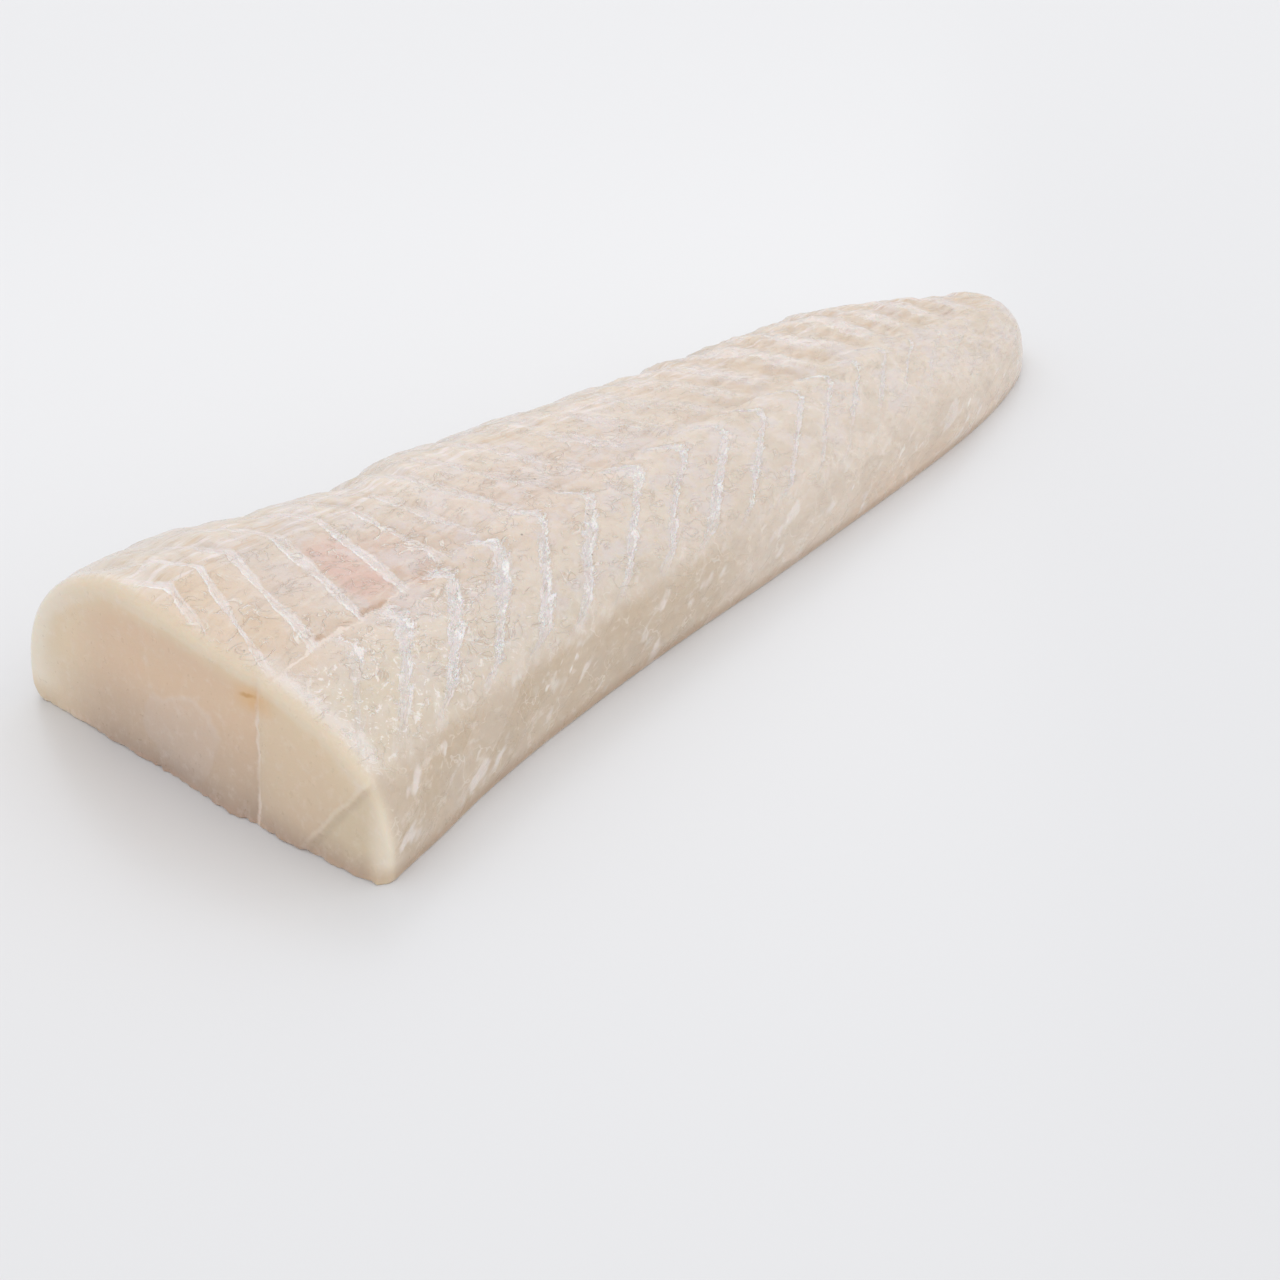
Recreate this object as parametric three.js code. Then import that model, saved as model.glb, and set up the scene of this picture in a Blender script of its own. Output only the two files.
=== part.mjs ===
// Salted cod loin: one thick skinless piece of fillet. It is cut square at the head end
// (the cut face looks along -X) and tapers to a rounded tail end (+X). The flank with the
// short steep side is -Y, the rounded back is +Y, and the piece rests on its flat underside.
// Millimetres, +Z up, origin at the middle of the underside's box.

import * as THREE from "three";

// ---- driving dimensions (mm) ----
const LENGTH = 297;              // cut face to tail tip
const TAIL_CAP = 20;             // length of the rounded tail end
const TAIL_TIP_Y = -43;          // the tail ends well to the steep side
const TAIL_CORNER = 3;           // how blunt the tail end is on the rounded side (2: an ellipse)
const BASE_EDGE_RADIUS = 1.0;    // rounding where the steep side meets the underside
const TUCK_RADIUS = [[0, 4.5], [25, 2.5], [60, 1]]; // the same on the rounded side, by x
const CUT_EDGE_RADIUS = 3.2;     // rounding round the cut face, at the crown
const CUT_EDGE_RADIUS_BASE = 0.8;

// Stations along the loin: x, edge on the rounded side, edge on the steep side, crown height.
const STATIONS = [
  [0, 57, -57, 43],
  [15, 57, -55.6, 43],
  [32, 51, -53.8, 42.6],
  [50, 40.5, -53, 42],
  [64, 35.3, -53, 41.5],
  [84, 36, -53.4, 40.5],
  [110, 29.5, -54.6, 38.5],
  [140, 22.6, -56.8, 36.5],
  [175, 13.8, -58.7, 34],
  [205, 7.6, -60, 31.5],
  [232, 4, -60.6, 29],
  [250, -4, -60, 26.3],
  [268, -14.5, -57.9, 23.4],
  [290, -29, -53.2, 21],
];
const SQUARENESS = [3.75, 2.4];      // superellipse power of the steep side, cut end and tail end
const SHOULDER_FALL = [0.26, 0.085]; // fall from the crown to the steep side's shoulder
const RIDGE_SHARE = 0.31;            // how far in from the rounded side the crown runs
const RIDGE_SHARE_TAIL = 0.45;
const RIDGE_SHIFT_START = 205;

// ---- muscle blocks: thin walls of white tissue part the flesh into flakes ----
const FIRST_WALL = 5;            // where the first wall meets the lateral line
const BODY_PITCH = 15.8;         // flake thickness along the loin
const BODY_WALLS = 11;           // flakes of that pitch, and thinner ones after them
const TAIL_PITCH = 13;
const FOLD_LINE = 0.42;          // where the walls turn back on the rounded side
const BACK_FOOT = 0.6;           // where the walls of the back end, above the lateral line
const FLANK_TOP = 0.65;          // where the walls of the flank begin
// The lateral line, as a share of the girth from the rounded side's base: x, share.
const LATERAL_LINE = [[0, 0.655], [35, 0.652], [60, 0.61], [80, 0.6], [200, 0.585]];
const FLAKE_RISE = 0.8;          // how far a flake stands above its walls
const FLAKE_RISE_TAIL = 1.5;
const WALL_GROOVE = 2.4;         // half width of the groove along a wall
const BACK_GROOVE = 0.5;         // depth of the back's grooves near the cut, as shares of a rise
const FLANK_GROOVE = 0.8;        // and of the flank's
const RIDGE_SWING = 0.32;        // towards the tail the back's flakes become round ridges
const RIDGE_DROP = 0.2;
const RIDGES_FROM = [95, 150];   // places between which grooves turn into ridges
const BACK_ENDS = [262, 290];    // the back's relief fades out along the loin here
const FLANK_ENDS = [105, 185];   // and the flank's here
const BACK_EDGE = [0.2, 0.36];   // girth shares over which the back's relief begins
const FLANK_EDGE = [0.79, 0.87]; // and over which the flank's ends
const LATERAL_HOLLOW = 0.3;      // depth of the hollow along the lateral line
const HOLLOW_WIDTH = 0.022;      // its half width, as a share of the girth
const HOLLOW_ENDS = [190, 250];
const UNEVEN = 0.6;              // height of the flesh's slow unevenness

// Lean of a wall: its shift along x against its place on the lateral line. On the flank it goes
// by the share of the girth, and sweeps back towards the cut all the way down.
const LEAN_FLANK = [[0.65, 0], [0.72, -6.5], [0.77, -13], [0.82, -20], [0.85, -28], [1, -64]];
// On the back it goes by the wall's place: first just above the line, then at the fold.
const LEAN_BACK = [
  [-11, 16.5], [5, 13.5], [37, 9.5], [68, 3.8], [84, 3], [110, 0.5], [150, 0], [192, -5],
  [220, -0.5], [280, 0],
];
const LEAN_AT_FOLD = [
  [-11, 29], [5, 22], [37, 12], [68, -3], [100, -12], [148, -19], [192, -19], [218, -10],
  [231, -2], [280, -2],
];
const FOLD_TO_BASE_LEAN = -44;   // from the fold down to the rounded side's base

// ---- cut face ----
// How far the foot of the face stands out: y, distance. It fades over the face's height.
const FOOT_BULGE = [
  [-57, 4.6], [-53, 5.6], [-46, 5.7], [-30, 5.8], [-22, 5.0], [-13, 5.8], [-2, 4.7], [15, 2.8],
  [36, 1.3], [56, 0.2],
];
const BULGE_TOP = 0.8;           // share of the cut's height at which that bulge ends
const BULGE_REACH = 14;          // and how far behind the face it fades out
const SEAM_Y = [-20.5, -18.8];   // seam between two muscles, at the base and at the crown
const SEAM_DEPTH = 0.6;
const SEAM_WIDTH = 2.4;
const FLAP_FOOT = [-34.2, 0];    // a flap line cuts off the lower steep corner (y, z)
const FLAP_HEAD = [-49.7, 21];
const FLAP_STEP = 0.8;           // the corner beyond it lies this much lower at the line
const FLAP_REACH = 7;            // and comes level again over this distance
const FLAP_TOP = [17, 24];       // heights between which the line fades out
const FACE_UNEVEN = 0.4;
const FACE_MIDDLE = [-2, 18];    // the face is woven outwards from this point (y, z)

// ---- mesh density ----
const RINGS_PER_FLAKE = 4;
const GIRTH_STEPS = 44;
const CORNER_STEPS = 2;
const UNDERSIDE_STEPS = 7;
const CUT_FACE_RINGS = 9;
const RIM_STEPS = 3;
const CAP_STATIONS = [0.12, 0.35, 0.56, 0.74, 0.87, 0.95, 0.99];
const ARC_SAMPLES = 90;

const lerp = (a, b, t) => a + (b - a) * t;
const clamp = (v, lo, hi) => Math.min(hi, Math.max(lo, v));
const smooth = (lo, hi, v) => {
  const t = clamp((v - lo) / (hi - lo), 0, 1);
  return t * t * (3 - 2 * t);
};

/** Straight interpolation through [x, value] knots, held at both ends. */
function knots(list, x) {
  if (x <= list[0][0]) return list[0][1];
  for (let i = 1; i < list.length; i++) {
    const [x0, v0] = list[i - 1];
    const [x1, v1] = list[i];
    if (x <= x1) return lerp(v0, v1, (x - x0) / (x1 - x0));
  }
  return list[list.length - 1][1];
}

/** Smooth (cubic) interpolation of one column of STATIONS at x, straight past the last one. */
function station(column, x) {
  const last = STATIONS.length - 1;
  const value = (i) => STATIONS[i][column];
  const slope = (i) => {
    const a = Math.max(i - 1, 0);
    const b = Math.min(i + 1, last);
    return (value(b) - value(a)) / (STATIONS[b][0] - STATIONS[a][0]);
  };
  if (x >= STATIONS[last][0]) return value(last) + (x - STATIONS[last][0]) * slope(last);
  let i = 0;
  while (i < last - 1 && x > STATIONS[i + 1][0]) i++;
  const h = STATIONS[i + 1][0] - STATIONS[i][0];
  const t = clamp((x - STATIONS[i][0]) / h, 0, 1);
  const t2 = t * t;
  const t3 = t2 * t;
  return (2 * t3 - 3 * t2 + 1) * value(i) + (t3 - 2 * t2 + t) * h * slope(i)
    + (3 * t2 - 2 * t3) * value(i + 1) + (t3 - t2) * h * slope(i + 1);
}

/** The sizes of the cross-section at x, with the tail end rounded off. */
function sizesAt(x) {
  const cap = clamp((x - (LENGTH - TAIL_CAP)) / TAIL_CAP, 0, 1);
  const narrow = Math.sqrt(1 - cap * cap);
  const low = Math.pow(1 - Math.pow(cap, 2.4), 1 / 2.4);
  const blunt = Math.pow(1 - Math.pow(cap, TAIL_CORNER), 1 / TAIL_CORNER);
  const round = lerp(TAIL_TIP_Y, station(1, x), blunt);
  const steep = lerp(TAIL_TIP_Y, station(2, x), narrow);
  const along = clamp(x / LENGTH, 0, 1);
  const toTail = clamp((x - RIDGE_SHIFT_START) / (LENGTH - RIDGE_SHIFT_START), 0, 1);
  const share = lerp(RIDGE_SHARE, RIDGE_SHARE_TAIL, Math.pow(toTail, 1.5));
  const crown = station(3, x) * low;
  const roundest = Math.min((round - steep) / 5, crown / 3);
  return {
    round,
    steep,
    ridge: lerp(round, steep, share),
    crown,
    power: lerp(SQUARENESS[0], SQUARENESS[1], along),
    fall: lerp(SHOULDER_FALL[0], SHOULDER_FALL[1], along),
    edge: Math.min(BASE_EDGE_RADIUS, roundest),
    tuck: Math.min(knots(TUCK_RADIUS, x), roundest),
  };
}

/** A point (y, z) of the open upper curve at an angle: 0 rounded base, pi steep base. */
function upperCurve(size, angle) {
  const c = Math.abs(Math.cos(angle));
  const s = Math.sin(angle);
  if (angle <= Math.PI / 2) {
    return [lerp(size.ridge, size.round, c), lerp(size.tuck, size.crown, s)];
  }
  const rise = size.crown - size.edge;
  const out = Math.pow(c, 2 / size.power);
  const up = Math.pow(s, 2 / size.power);
  return [lerp(size.ridge, size.steep, out), size.edge + rise * up * (1 - size.fall * out)];
}

/** The point (y, z) at a share of the girth, measured along the upper curve at x. */
function girthPoint(x, share) {
  const size = sizesAt(x);
  const points = [];
  const reach = [0];
  for (let i = 0; i <= ARC_SAMPLES; i++) {
    points.push(upperCurve(size, (Math.PI * i) / ARC_SAMPLES));
    if (i > 0) {
      const [a, b] = [points[i - 1], points[i]];
      reach.push(reach[i - 1] + Math.hypot(b[0] - a[0], b[1] - a[1]));
    }
  }
  const target = share * reach[ARC_SAMPLES];
  let i = 1;
  while (i < ARC_SAMPLES && reach[i] < target) i++;
  const t = clamp((target - reach[i - 1]) / (reach[i] - reach[i - 1]), 0, 1);
  return [lerp(points[i - 1][0], points[i][0], t), lerp(points[i - 1][1], points[i][1], t)];
}

/** Shift along x of a wall of the back that meets the lateral line at p. */
function leanOfBack(p, share) {
  const fold = knots(LEAN_AT_FOLD, p);
  if (share < FOLD_LINE) return fold + FOLD_TO_BASE_LEAN * (1 - share / FOLD_LINE);
  return lerp(fold, knots(LEAN_BACK, p), (share - FOLD_LINE) / (BACK_FOOT - FOLD_LINE));
}

/** Count of walls passed at place p: whole numbers fall on walls. */
function wallCount(p) {
  const change = FIRST_WALL + BODY_WALLS * BODY_PITCH;
  return p < change ? (p - FIRST_WALL) / BODY_PITCH : BODY_WALLS + (p - change) / TAIL_PITCH;
}

/** Count of the back's walls passed at (x, share). */
function backCount(x, share) {
  let p = x;
  for (let i = 0; i < 5; i++) p = x - leanOfBack(p, share);
  return wallCount(p);
}

/** Count of the flank's walls passed at (x, share). */
function flankCount(x, share) {
  return wallCount(x - knots(LEAN_FLANK, share));
}

/** Depth of the grooves at the walls: -1 on a wall, 0 on a flake. */
function pillow(count, x) {
  const pitch = x < FIRST_WALL + BODY_WALLS * BODY_PITCH ? BODY_PITCH : TAIL_PITCH;
  const fromWall = Math.abs(count - Math.round(count)) * pitch;
  return -Math.exp(-Math.pow(fromWall / WALL_GROOVE, 1.4));
}

/** Slow unevenness of the flesh, about one unit high. */
function unevenness(x, y) {
  return 0.5 * Math.sin(x / 9.7 + y / 13.1 + 1.3) + 0.3 * Math.sin(x / 5.3 - y / 7.9 + 0.4)
    + 0.2 * Math.sin(y / 4.1 + x / 17 + 2.2);
}

/** Height of the flakes and of the lateral line at a place on the sides and the crown. */
function flakeRelief(x, y, share) {
  const below = share - knots(LATERAL_LINE, x);
  const rise = lerp(FLAKE_RISE, FLAKE_RISE_TAIL, smooth(150, 240, x));
  const back = backCount(x, share);
  const ridges = RIDGE_SWING * Math.cos(2 * Math.PI * back) - RIDGE_DROP;
  const grooves = BACK_GROOVE * pillow(back, x);
  const backFades = (1 - smooth(...BACK_ENDS, x)) * smooth(...BACK_EDGE, share);
  const onBack = backFades * lerp(grooves, ridges, smooth(...RIDGES_FROM, x));
  const flankFades = (1 - smooth(...FLANK_EDGE, share)) * (1 - smooth(...FLANK_ENDS, x));
  const onFlank = flankFades * FLANK_GROOVE * pillow(flankCount(x, share), x);
  const hollow = Math.exp(-Math.pow(below / HOLLOW_WIDTH, 2)) * (1 - smooth(...HOLLOW_ENDS, x));
  const raised = lerp(onBack, onFlank, smooth(-0.03, 0.03, below)) * rise;
  const even = (1 - smooth(LENGTH - 2 * TAIL_CAP, LENGTH, x)) * UNEVEN * unevenness(x, y);
  return raised + even - LATERAL_HOLLOW * hollow;
}

/** How far the cut face stands out (negative x) at (y, z). */
function cutFaceBulge(y, z, height) {
  const low = Math.pow(clamp(1 - z / (BULGE_TOP * height), 0, 1), 1.2);
  return -knots(FOOT_BULGE, y) * low;
}

/** Seam and flap line of the cut face, as a shift along x. */
function cutFaceRelief(y, z, height) {
  const fromSeam = y - lerp(SEAM_Y[0], SEAM_Y[1], z / height);
  const groove = SEAM_DEPTH * Math.exp(-Math.pow(fromSeam / SEAM_WIDTH, 2));
  const run = [FLAP_HEAD[0] - FLAP_FOOT[0], FLAP_HEAD[1] - FLAP_FOOT[1]];
  const beyond = ((y - FLAP_FOOT[0]) * run[1] - (z - FLAP_FOOT[1]) * run[0]) / Math.hypot(...run);
  const recess = smooth(0.4, -0.8, beyond) * Math.exp(Math.min(beyond, 0) / FLAP_REACH);
  const flap = FLAP_STEP * recess * (1 - smooth(...FLAP_TOP, z));
  return groove + flap + FACE_UNEVEN * unevenness(y, z * 1.7);
}

/** One ring of the hull at station s: { x, y, z, share, radius } for each point. */
function hullRing(s) {
  // Rings lean with the walls, except close to both ends, so that grooves fall on rings.
  const bend = smooth(0, 70, s) * (1 - smooth(225, 288, s));
  const lean = (share) => {
    const toFlank = smooth(BACK_FOOT - 0.02, FLANK_TOP + 0.02, share);
    return lerp(leanOfBack(s, share), knots(LEAN_FLANK, share), toFlank);
  };
  const shifted = (share) => s + bend * clamp(lean(share), -28, 24);
  const ring = [];
  const add = (x, y, z, share) => {
    const height = clamp(z / sizesAt(x).crown, 0, 1);
    ring.push({ x, y, z, share, radius: lerp(CUT_EDGE_RADIUS_BASE, CUT_EDGE_RADIUS, height) });
  };
  for (let j = 0; j <= GIRTH_STEPS; j++) {
    const share = j / GIRTH_STEPS;
    const x = shifted(share);
    add(x, ...girthPoint(x, share), share);
  }
  const corner = (side, share, order) => {
    const x = shifted(share);
    const size = sizesAt(x);
    const edge = side === "steep" ? size.edge : size.tuck;
    const inward = side === "steep" ? 1 : -1;
    for (const k of order) {
      const a = (Math.PI / 2) * (k / (CORNER_STEPS + 1));
      add(x, size[side] + inward * edge * (1 - Math.cos(a)), edge * (1 - Math.sin(a)), null);
    }
  };
  const steps = Array.from({ length: CORNER_STEPS + 1 }, (_, k) => k + 1);
  corner("steep", 1, steps);
  const first = ring[ring.length - 1];
  const roundX = shifted(0);
  const roundSize = sizesAt(roundX);
  for (let k = 1; k < UNDERSIDE_STEPS; k++) {
    const t = k / UNDERSIDE_STEPS;
    add(lerp(first.x, roundX, t), lerp(first.y, roundSize.round - roundSize.tuck, t), 0, null);
  }
  corner("round", 0, steps.slice().reverse());
  return ring;
}

/** Outward direction of each ring point within the cross-section. */
function ringNormals(ring) {
  return ring.map((_, i) => {
    const a = ring[(i + ring.length - 1) % ring.length];
    const b = ring[(i + 1) % ring.length];
    const long = Math.hypot(b.y - a.y, b.z - a.z);
    return [(b.z - a.z) / long, (a.y - b.y) / long];
  });
}

/** Every ring from the middle of the cut face to the tail, in order. */
function allRings() {
  const height = STATIONS[0][3];
  const first = hullRing(0);
  const normals = ringNormals(first);
  const rim = (turn) => first.map((p, i) => {
    const inset = p.radius * (1 - Math.sin(turn));
    const [y, z] = [p.y - normals[i][0] * inset, p.z - normals[i][1] * inset];
    const relief = cutFaceRelief(y, z, height) * Math.cos(turn);
    const x = p.radius * (1 - Math.cos(turn)) + cutFaceBulge(y, z, height) + relief;
    return { x, y, z, share: null };
  });
  const outline = rim(0);
  const [midY, midZ] = FACE_MIDDLE;
  const rings = [];
  for (let k = 1; k < CUT_FACE_RINGS; k++) {
    const reach = k / CUT_FACE_RINGS;
    rings.push(outline.map((p) => {
      const [y, z] = [lerp(midY, p.y, reach), lerp(midZ, p.z, reach)];
      const x = cutFaceBulge(y, z, height) + cutFaceRelief(y, z, height);
      return { x, y, z, share: null };
    }));
  }
  for (let k = 0; k < RIM_STEPS; k++) rings.push(rim((Math.PI / 2) * (k / RIM_STEPS)));

  const change = FIRST_WALL + BODY_WALLS * BODY_PITCH;
  const places = [];
  const start = FIRST_WALL / 4;
  for (let s = FIRST_WALL; s < change - 0.1; s += BODY_PITCH / RINGS_PER_FLAKE) places.push(s);
  for (let s = change; s < LENGTH - TAIL_CAP; s += TAIL_PITCH / RINGS_PER_FLAKE) places.push(s);
  for (const t of CAP_STATIONS) places.push(LENGTH - TAIL_CAP * (1 - t));
  for (const s of places) {
    rings.push(hullRing(s).map((p) => {
      const fade = Math.pow(clamp(1 - (p.x - start) / BULGE_REACH, 0, 1), 2);
      return { ...p, x: p.x + fade * cutFaceBulge(p.y, p.z, height) };
    }));
  }
  return rings;
}

/** A closed geometry from rings, with a point at each end. */
function loftedGeometry(rings, startPoint, endPoint) {
  const around = rings[0].length;
  const positions = [...startPoint];
  for (const ring of rings) for (const p of ring) positions.push(p.x, p.y, p.z);
  positions.push(...endPoint);
  const index = [];
  const at = (r, j) => 1 + r * around + (j % around);
  const last = 1 + rings.length * around;
  for (let j = 0; j < around; j++) index.push(0, at(0, j + 1), at(0, j));
  for (let r = 0; r + 1 < rings.length; r++) {
    for (let j = 0; j < around; j++) {
      const [a, b, c, d] = [at(r, j), at(r + 1, j), at(r + 1, j + 1), at(r, j + 1)];
      index.push(a, c, b, a, d, c);
    }
  }
  const tail = rings.length - 1;
  for (let j = 0; j < around; j++) index.push(last, at(tail, j), at(tail, j + 1));
  const geometry = new THREE.BufferGeometry();
  geometry.setAttribute("position", new THREE.Float32BufferAttribute(positions, 3));
  geometry.setIndex(index);
  return geometry;
}

/** Raises the flakes: each point of the sides moves along its normal. */
function raiseFlakes(geometry, rings) {
  geometry.computeVertexNormals();
  const position = geometry.getAttribute("position");
  const normal = geometry.getAttribute("normal");
  rings.flat().forEach((p, i) => {
    if (p.share === null) return;
    const fade = smooth(0, 9, p.x) * smooth(0, 0.04, p.share) * smooth(1, 0.96, p.share);
    const rise = fade * flakeRelief(p.x, p.y, p.share);
    const k = i + 1;
    const push = [normal.getX(k), normal.getY(k), normal.getZ(k)].map((n) => rise * n);
    position.setXYZ(k, p.x + push[0], p.y + push[1], p.z + push[2]);
  });
  geometry.deleteAttribute("normal");
}

function codLoin() {
  const rings = allRings();
  const height = STATIONS[0][3];
  const [midY, midZ] = FACE_MIDDLE;
  const face = cutFaceBulge(midY, midZ, height) + cutFaceRelief(midY, midZ, height);
  const tail = rings[rings.length - 1];
  const mean = (key) => tail.reduce((sum, p) => sum + p[key], 0) / tail.length;
  const geometry = loftedGeometry(rings, [face, midY, midZ], [LENGTH, mean("y"), mean("z")]);
  raiseFlakes(geometry, rings);
  geometry.computeBoundingBox();
  const { min, max } = geometry.boundingBox;
  geometry.translate(-(min.x + max.x) / 2, -(min.y + max.y) / 2, -min.z);
  geometry.computeVertexNormals();
  const flesh = new THREE.MeshStandardMaterial({ color: 0xe3d6c2, roughness: 0.32, metalness: 0 });
  const mesh = new THREE.Mesh(geometry, flesh);
  mesh.name = "cod_loin";
  return mesh;
}

const saltedCod = new THREE.Group();
saltedCod.add(codLoin());
export default saltedCod;
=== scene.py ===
"""Looks of the salted cod loin: its flaked flesh, the tissue between the flakes and the cut face.

The loin is formed in millimetres from its cut face (x = 0) to its tail tip (x = length), then
moved into the frame's box, in metres. +X runs to the tail, -Y is the steep flank, +Z is up.
"""

import logging
import math
from collections.abc import Callable, Sequence
from dataclasses import dataclass, field
from enum import Enum

import bmesh
import bpy
import numpy as np
from mathutils import Euler, Matrix, Vector, noise


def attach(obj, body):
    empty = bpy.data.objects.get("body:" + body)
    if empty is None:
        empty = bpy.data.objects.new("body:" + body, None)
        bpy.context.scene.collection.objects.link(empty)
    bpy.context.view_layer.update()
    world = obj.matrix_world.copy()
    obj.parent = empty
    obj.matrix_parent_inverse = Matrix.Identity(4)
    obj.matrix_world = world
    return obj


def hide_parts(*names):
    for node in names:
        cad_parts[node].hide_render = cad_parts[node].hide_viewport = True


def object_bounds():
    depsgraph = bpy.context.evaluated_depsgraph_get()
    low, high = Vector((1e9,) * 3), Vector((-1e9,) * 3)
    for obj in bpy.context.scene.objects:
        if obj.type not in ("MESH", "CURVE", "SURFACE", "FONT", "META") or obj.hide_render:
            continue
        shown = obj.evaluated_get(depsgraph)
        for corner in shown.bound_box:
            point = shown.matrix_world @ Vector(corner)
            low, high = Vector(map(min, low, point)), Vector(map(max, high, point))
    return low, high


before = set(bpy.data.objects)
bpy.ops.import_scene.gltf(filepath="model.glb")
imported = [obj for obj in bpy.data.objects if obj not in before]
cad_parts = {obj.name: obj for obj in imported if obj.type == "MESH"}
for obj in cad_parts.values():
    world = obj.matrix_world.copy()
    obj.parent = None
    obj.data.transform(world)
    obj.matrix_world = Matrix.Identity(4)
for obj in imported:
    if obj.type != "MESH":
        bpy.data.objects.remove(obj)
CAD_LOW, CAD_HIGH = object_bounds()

log = logging.getLogger("cod_loin")

MM = 0.001
BODY = "root"
NODE = "cod_loin"

# millimetres along the loin from wall to wall, and round its upper side, for the shader
FLAKE_LENGTH = 15.0
GIRTH_LENGTH = 115.0
# how far y in the form's own frame lies behind y in the frame, in millimetres
FORM_SHIFT = 1.8
# what every point of the mesh carries for the shader
CARRIED = ("back", "flank", "below", "along", "girth", "core", "face")

Array = np.ndarray
Colour = tuple[float, float, float]
Point = tuple[float, float, float]
Socket = bpy.types.NodeSocket


# ---- Small helpers ----


def smooth(low: float, high: float, value: Array | float) -> Array | float:
    """Smooth step from 0 at low to 1 at high; low may be the larger of the two."""
    share = np.clip((value - low) / (high - low), 0.0, 1.0)
    return share * share * (3.0 - 2.0 * share)


def mix(start: Array | float, end: Array | float, share: Array | float) -> Array | float:
    """Straight blend from start to end."""
    return start + (end - start) * share


def knots(pairs: Sequence[tuple[float, float]], at: Array | float) -> Array | float:
    """Straight interpolation through (place, value) pairs, held past both ends."""
    places, values = zip(*pairs)
    return np.interp(at, places, values)


def bump(value: Array, width: float) -> Array:
    """A soft bump of height 1 round 0."""
    return np.exp(-((value / width) ** 2))


def wave(x: float, y: float, z: float = 0.0) -> float:
    """Smooth noise at a point, between -1 and 1."""
    return noise.noise(Vector((x, y, z)))


def linked(name: str, data: bpy.types.ID) -> bpy.types.Object:
    """An object of some data, linked into the scene."""
    made = bpy.data.objects.new(name, data)
    bpy.context.scene.collection.objects.link(made)
    return made


def formed(name: str, mesh_tool: bmesh.types.BMesh) -> bpy.types.Object:
    """The object of a finished mesh."""
    mesh = bpy.data.meshes.new(name)
    mesh_tool.to_mesh(mesh)
    mesh_tool.free()
    return linked(name, mesh)


def facing(ahead: Vector) -> Euler:
    """The turn of a camera or a light that looks ahead, upright."""
    return ahead.to_track_quat("-Z", "Y").to_euler()


# ---- The form of the loin, in millimetres ----


class Side(Enum):
    """The two long sides of the loin."""

    ROUND = 1
    STEEP = 2


@dataclass(frozen=True)
class Section:
    """Sizes of the cross-section at one or many places along the loin."""

    round: Array
    steep: Array
    ridge: Array
    crown: Array
    power: Array
    fall: Array
    edge: Array
    tuck: Array


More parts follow.
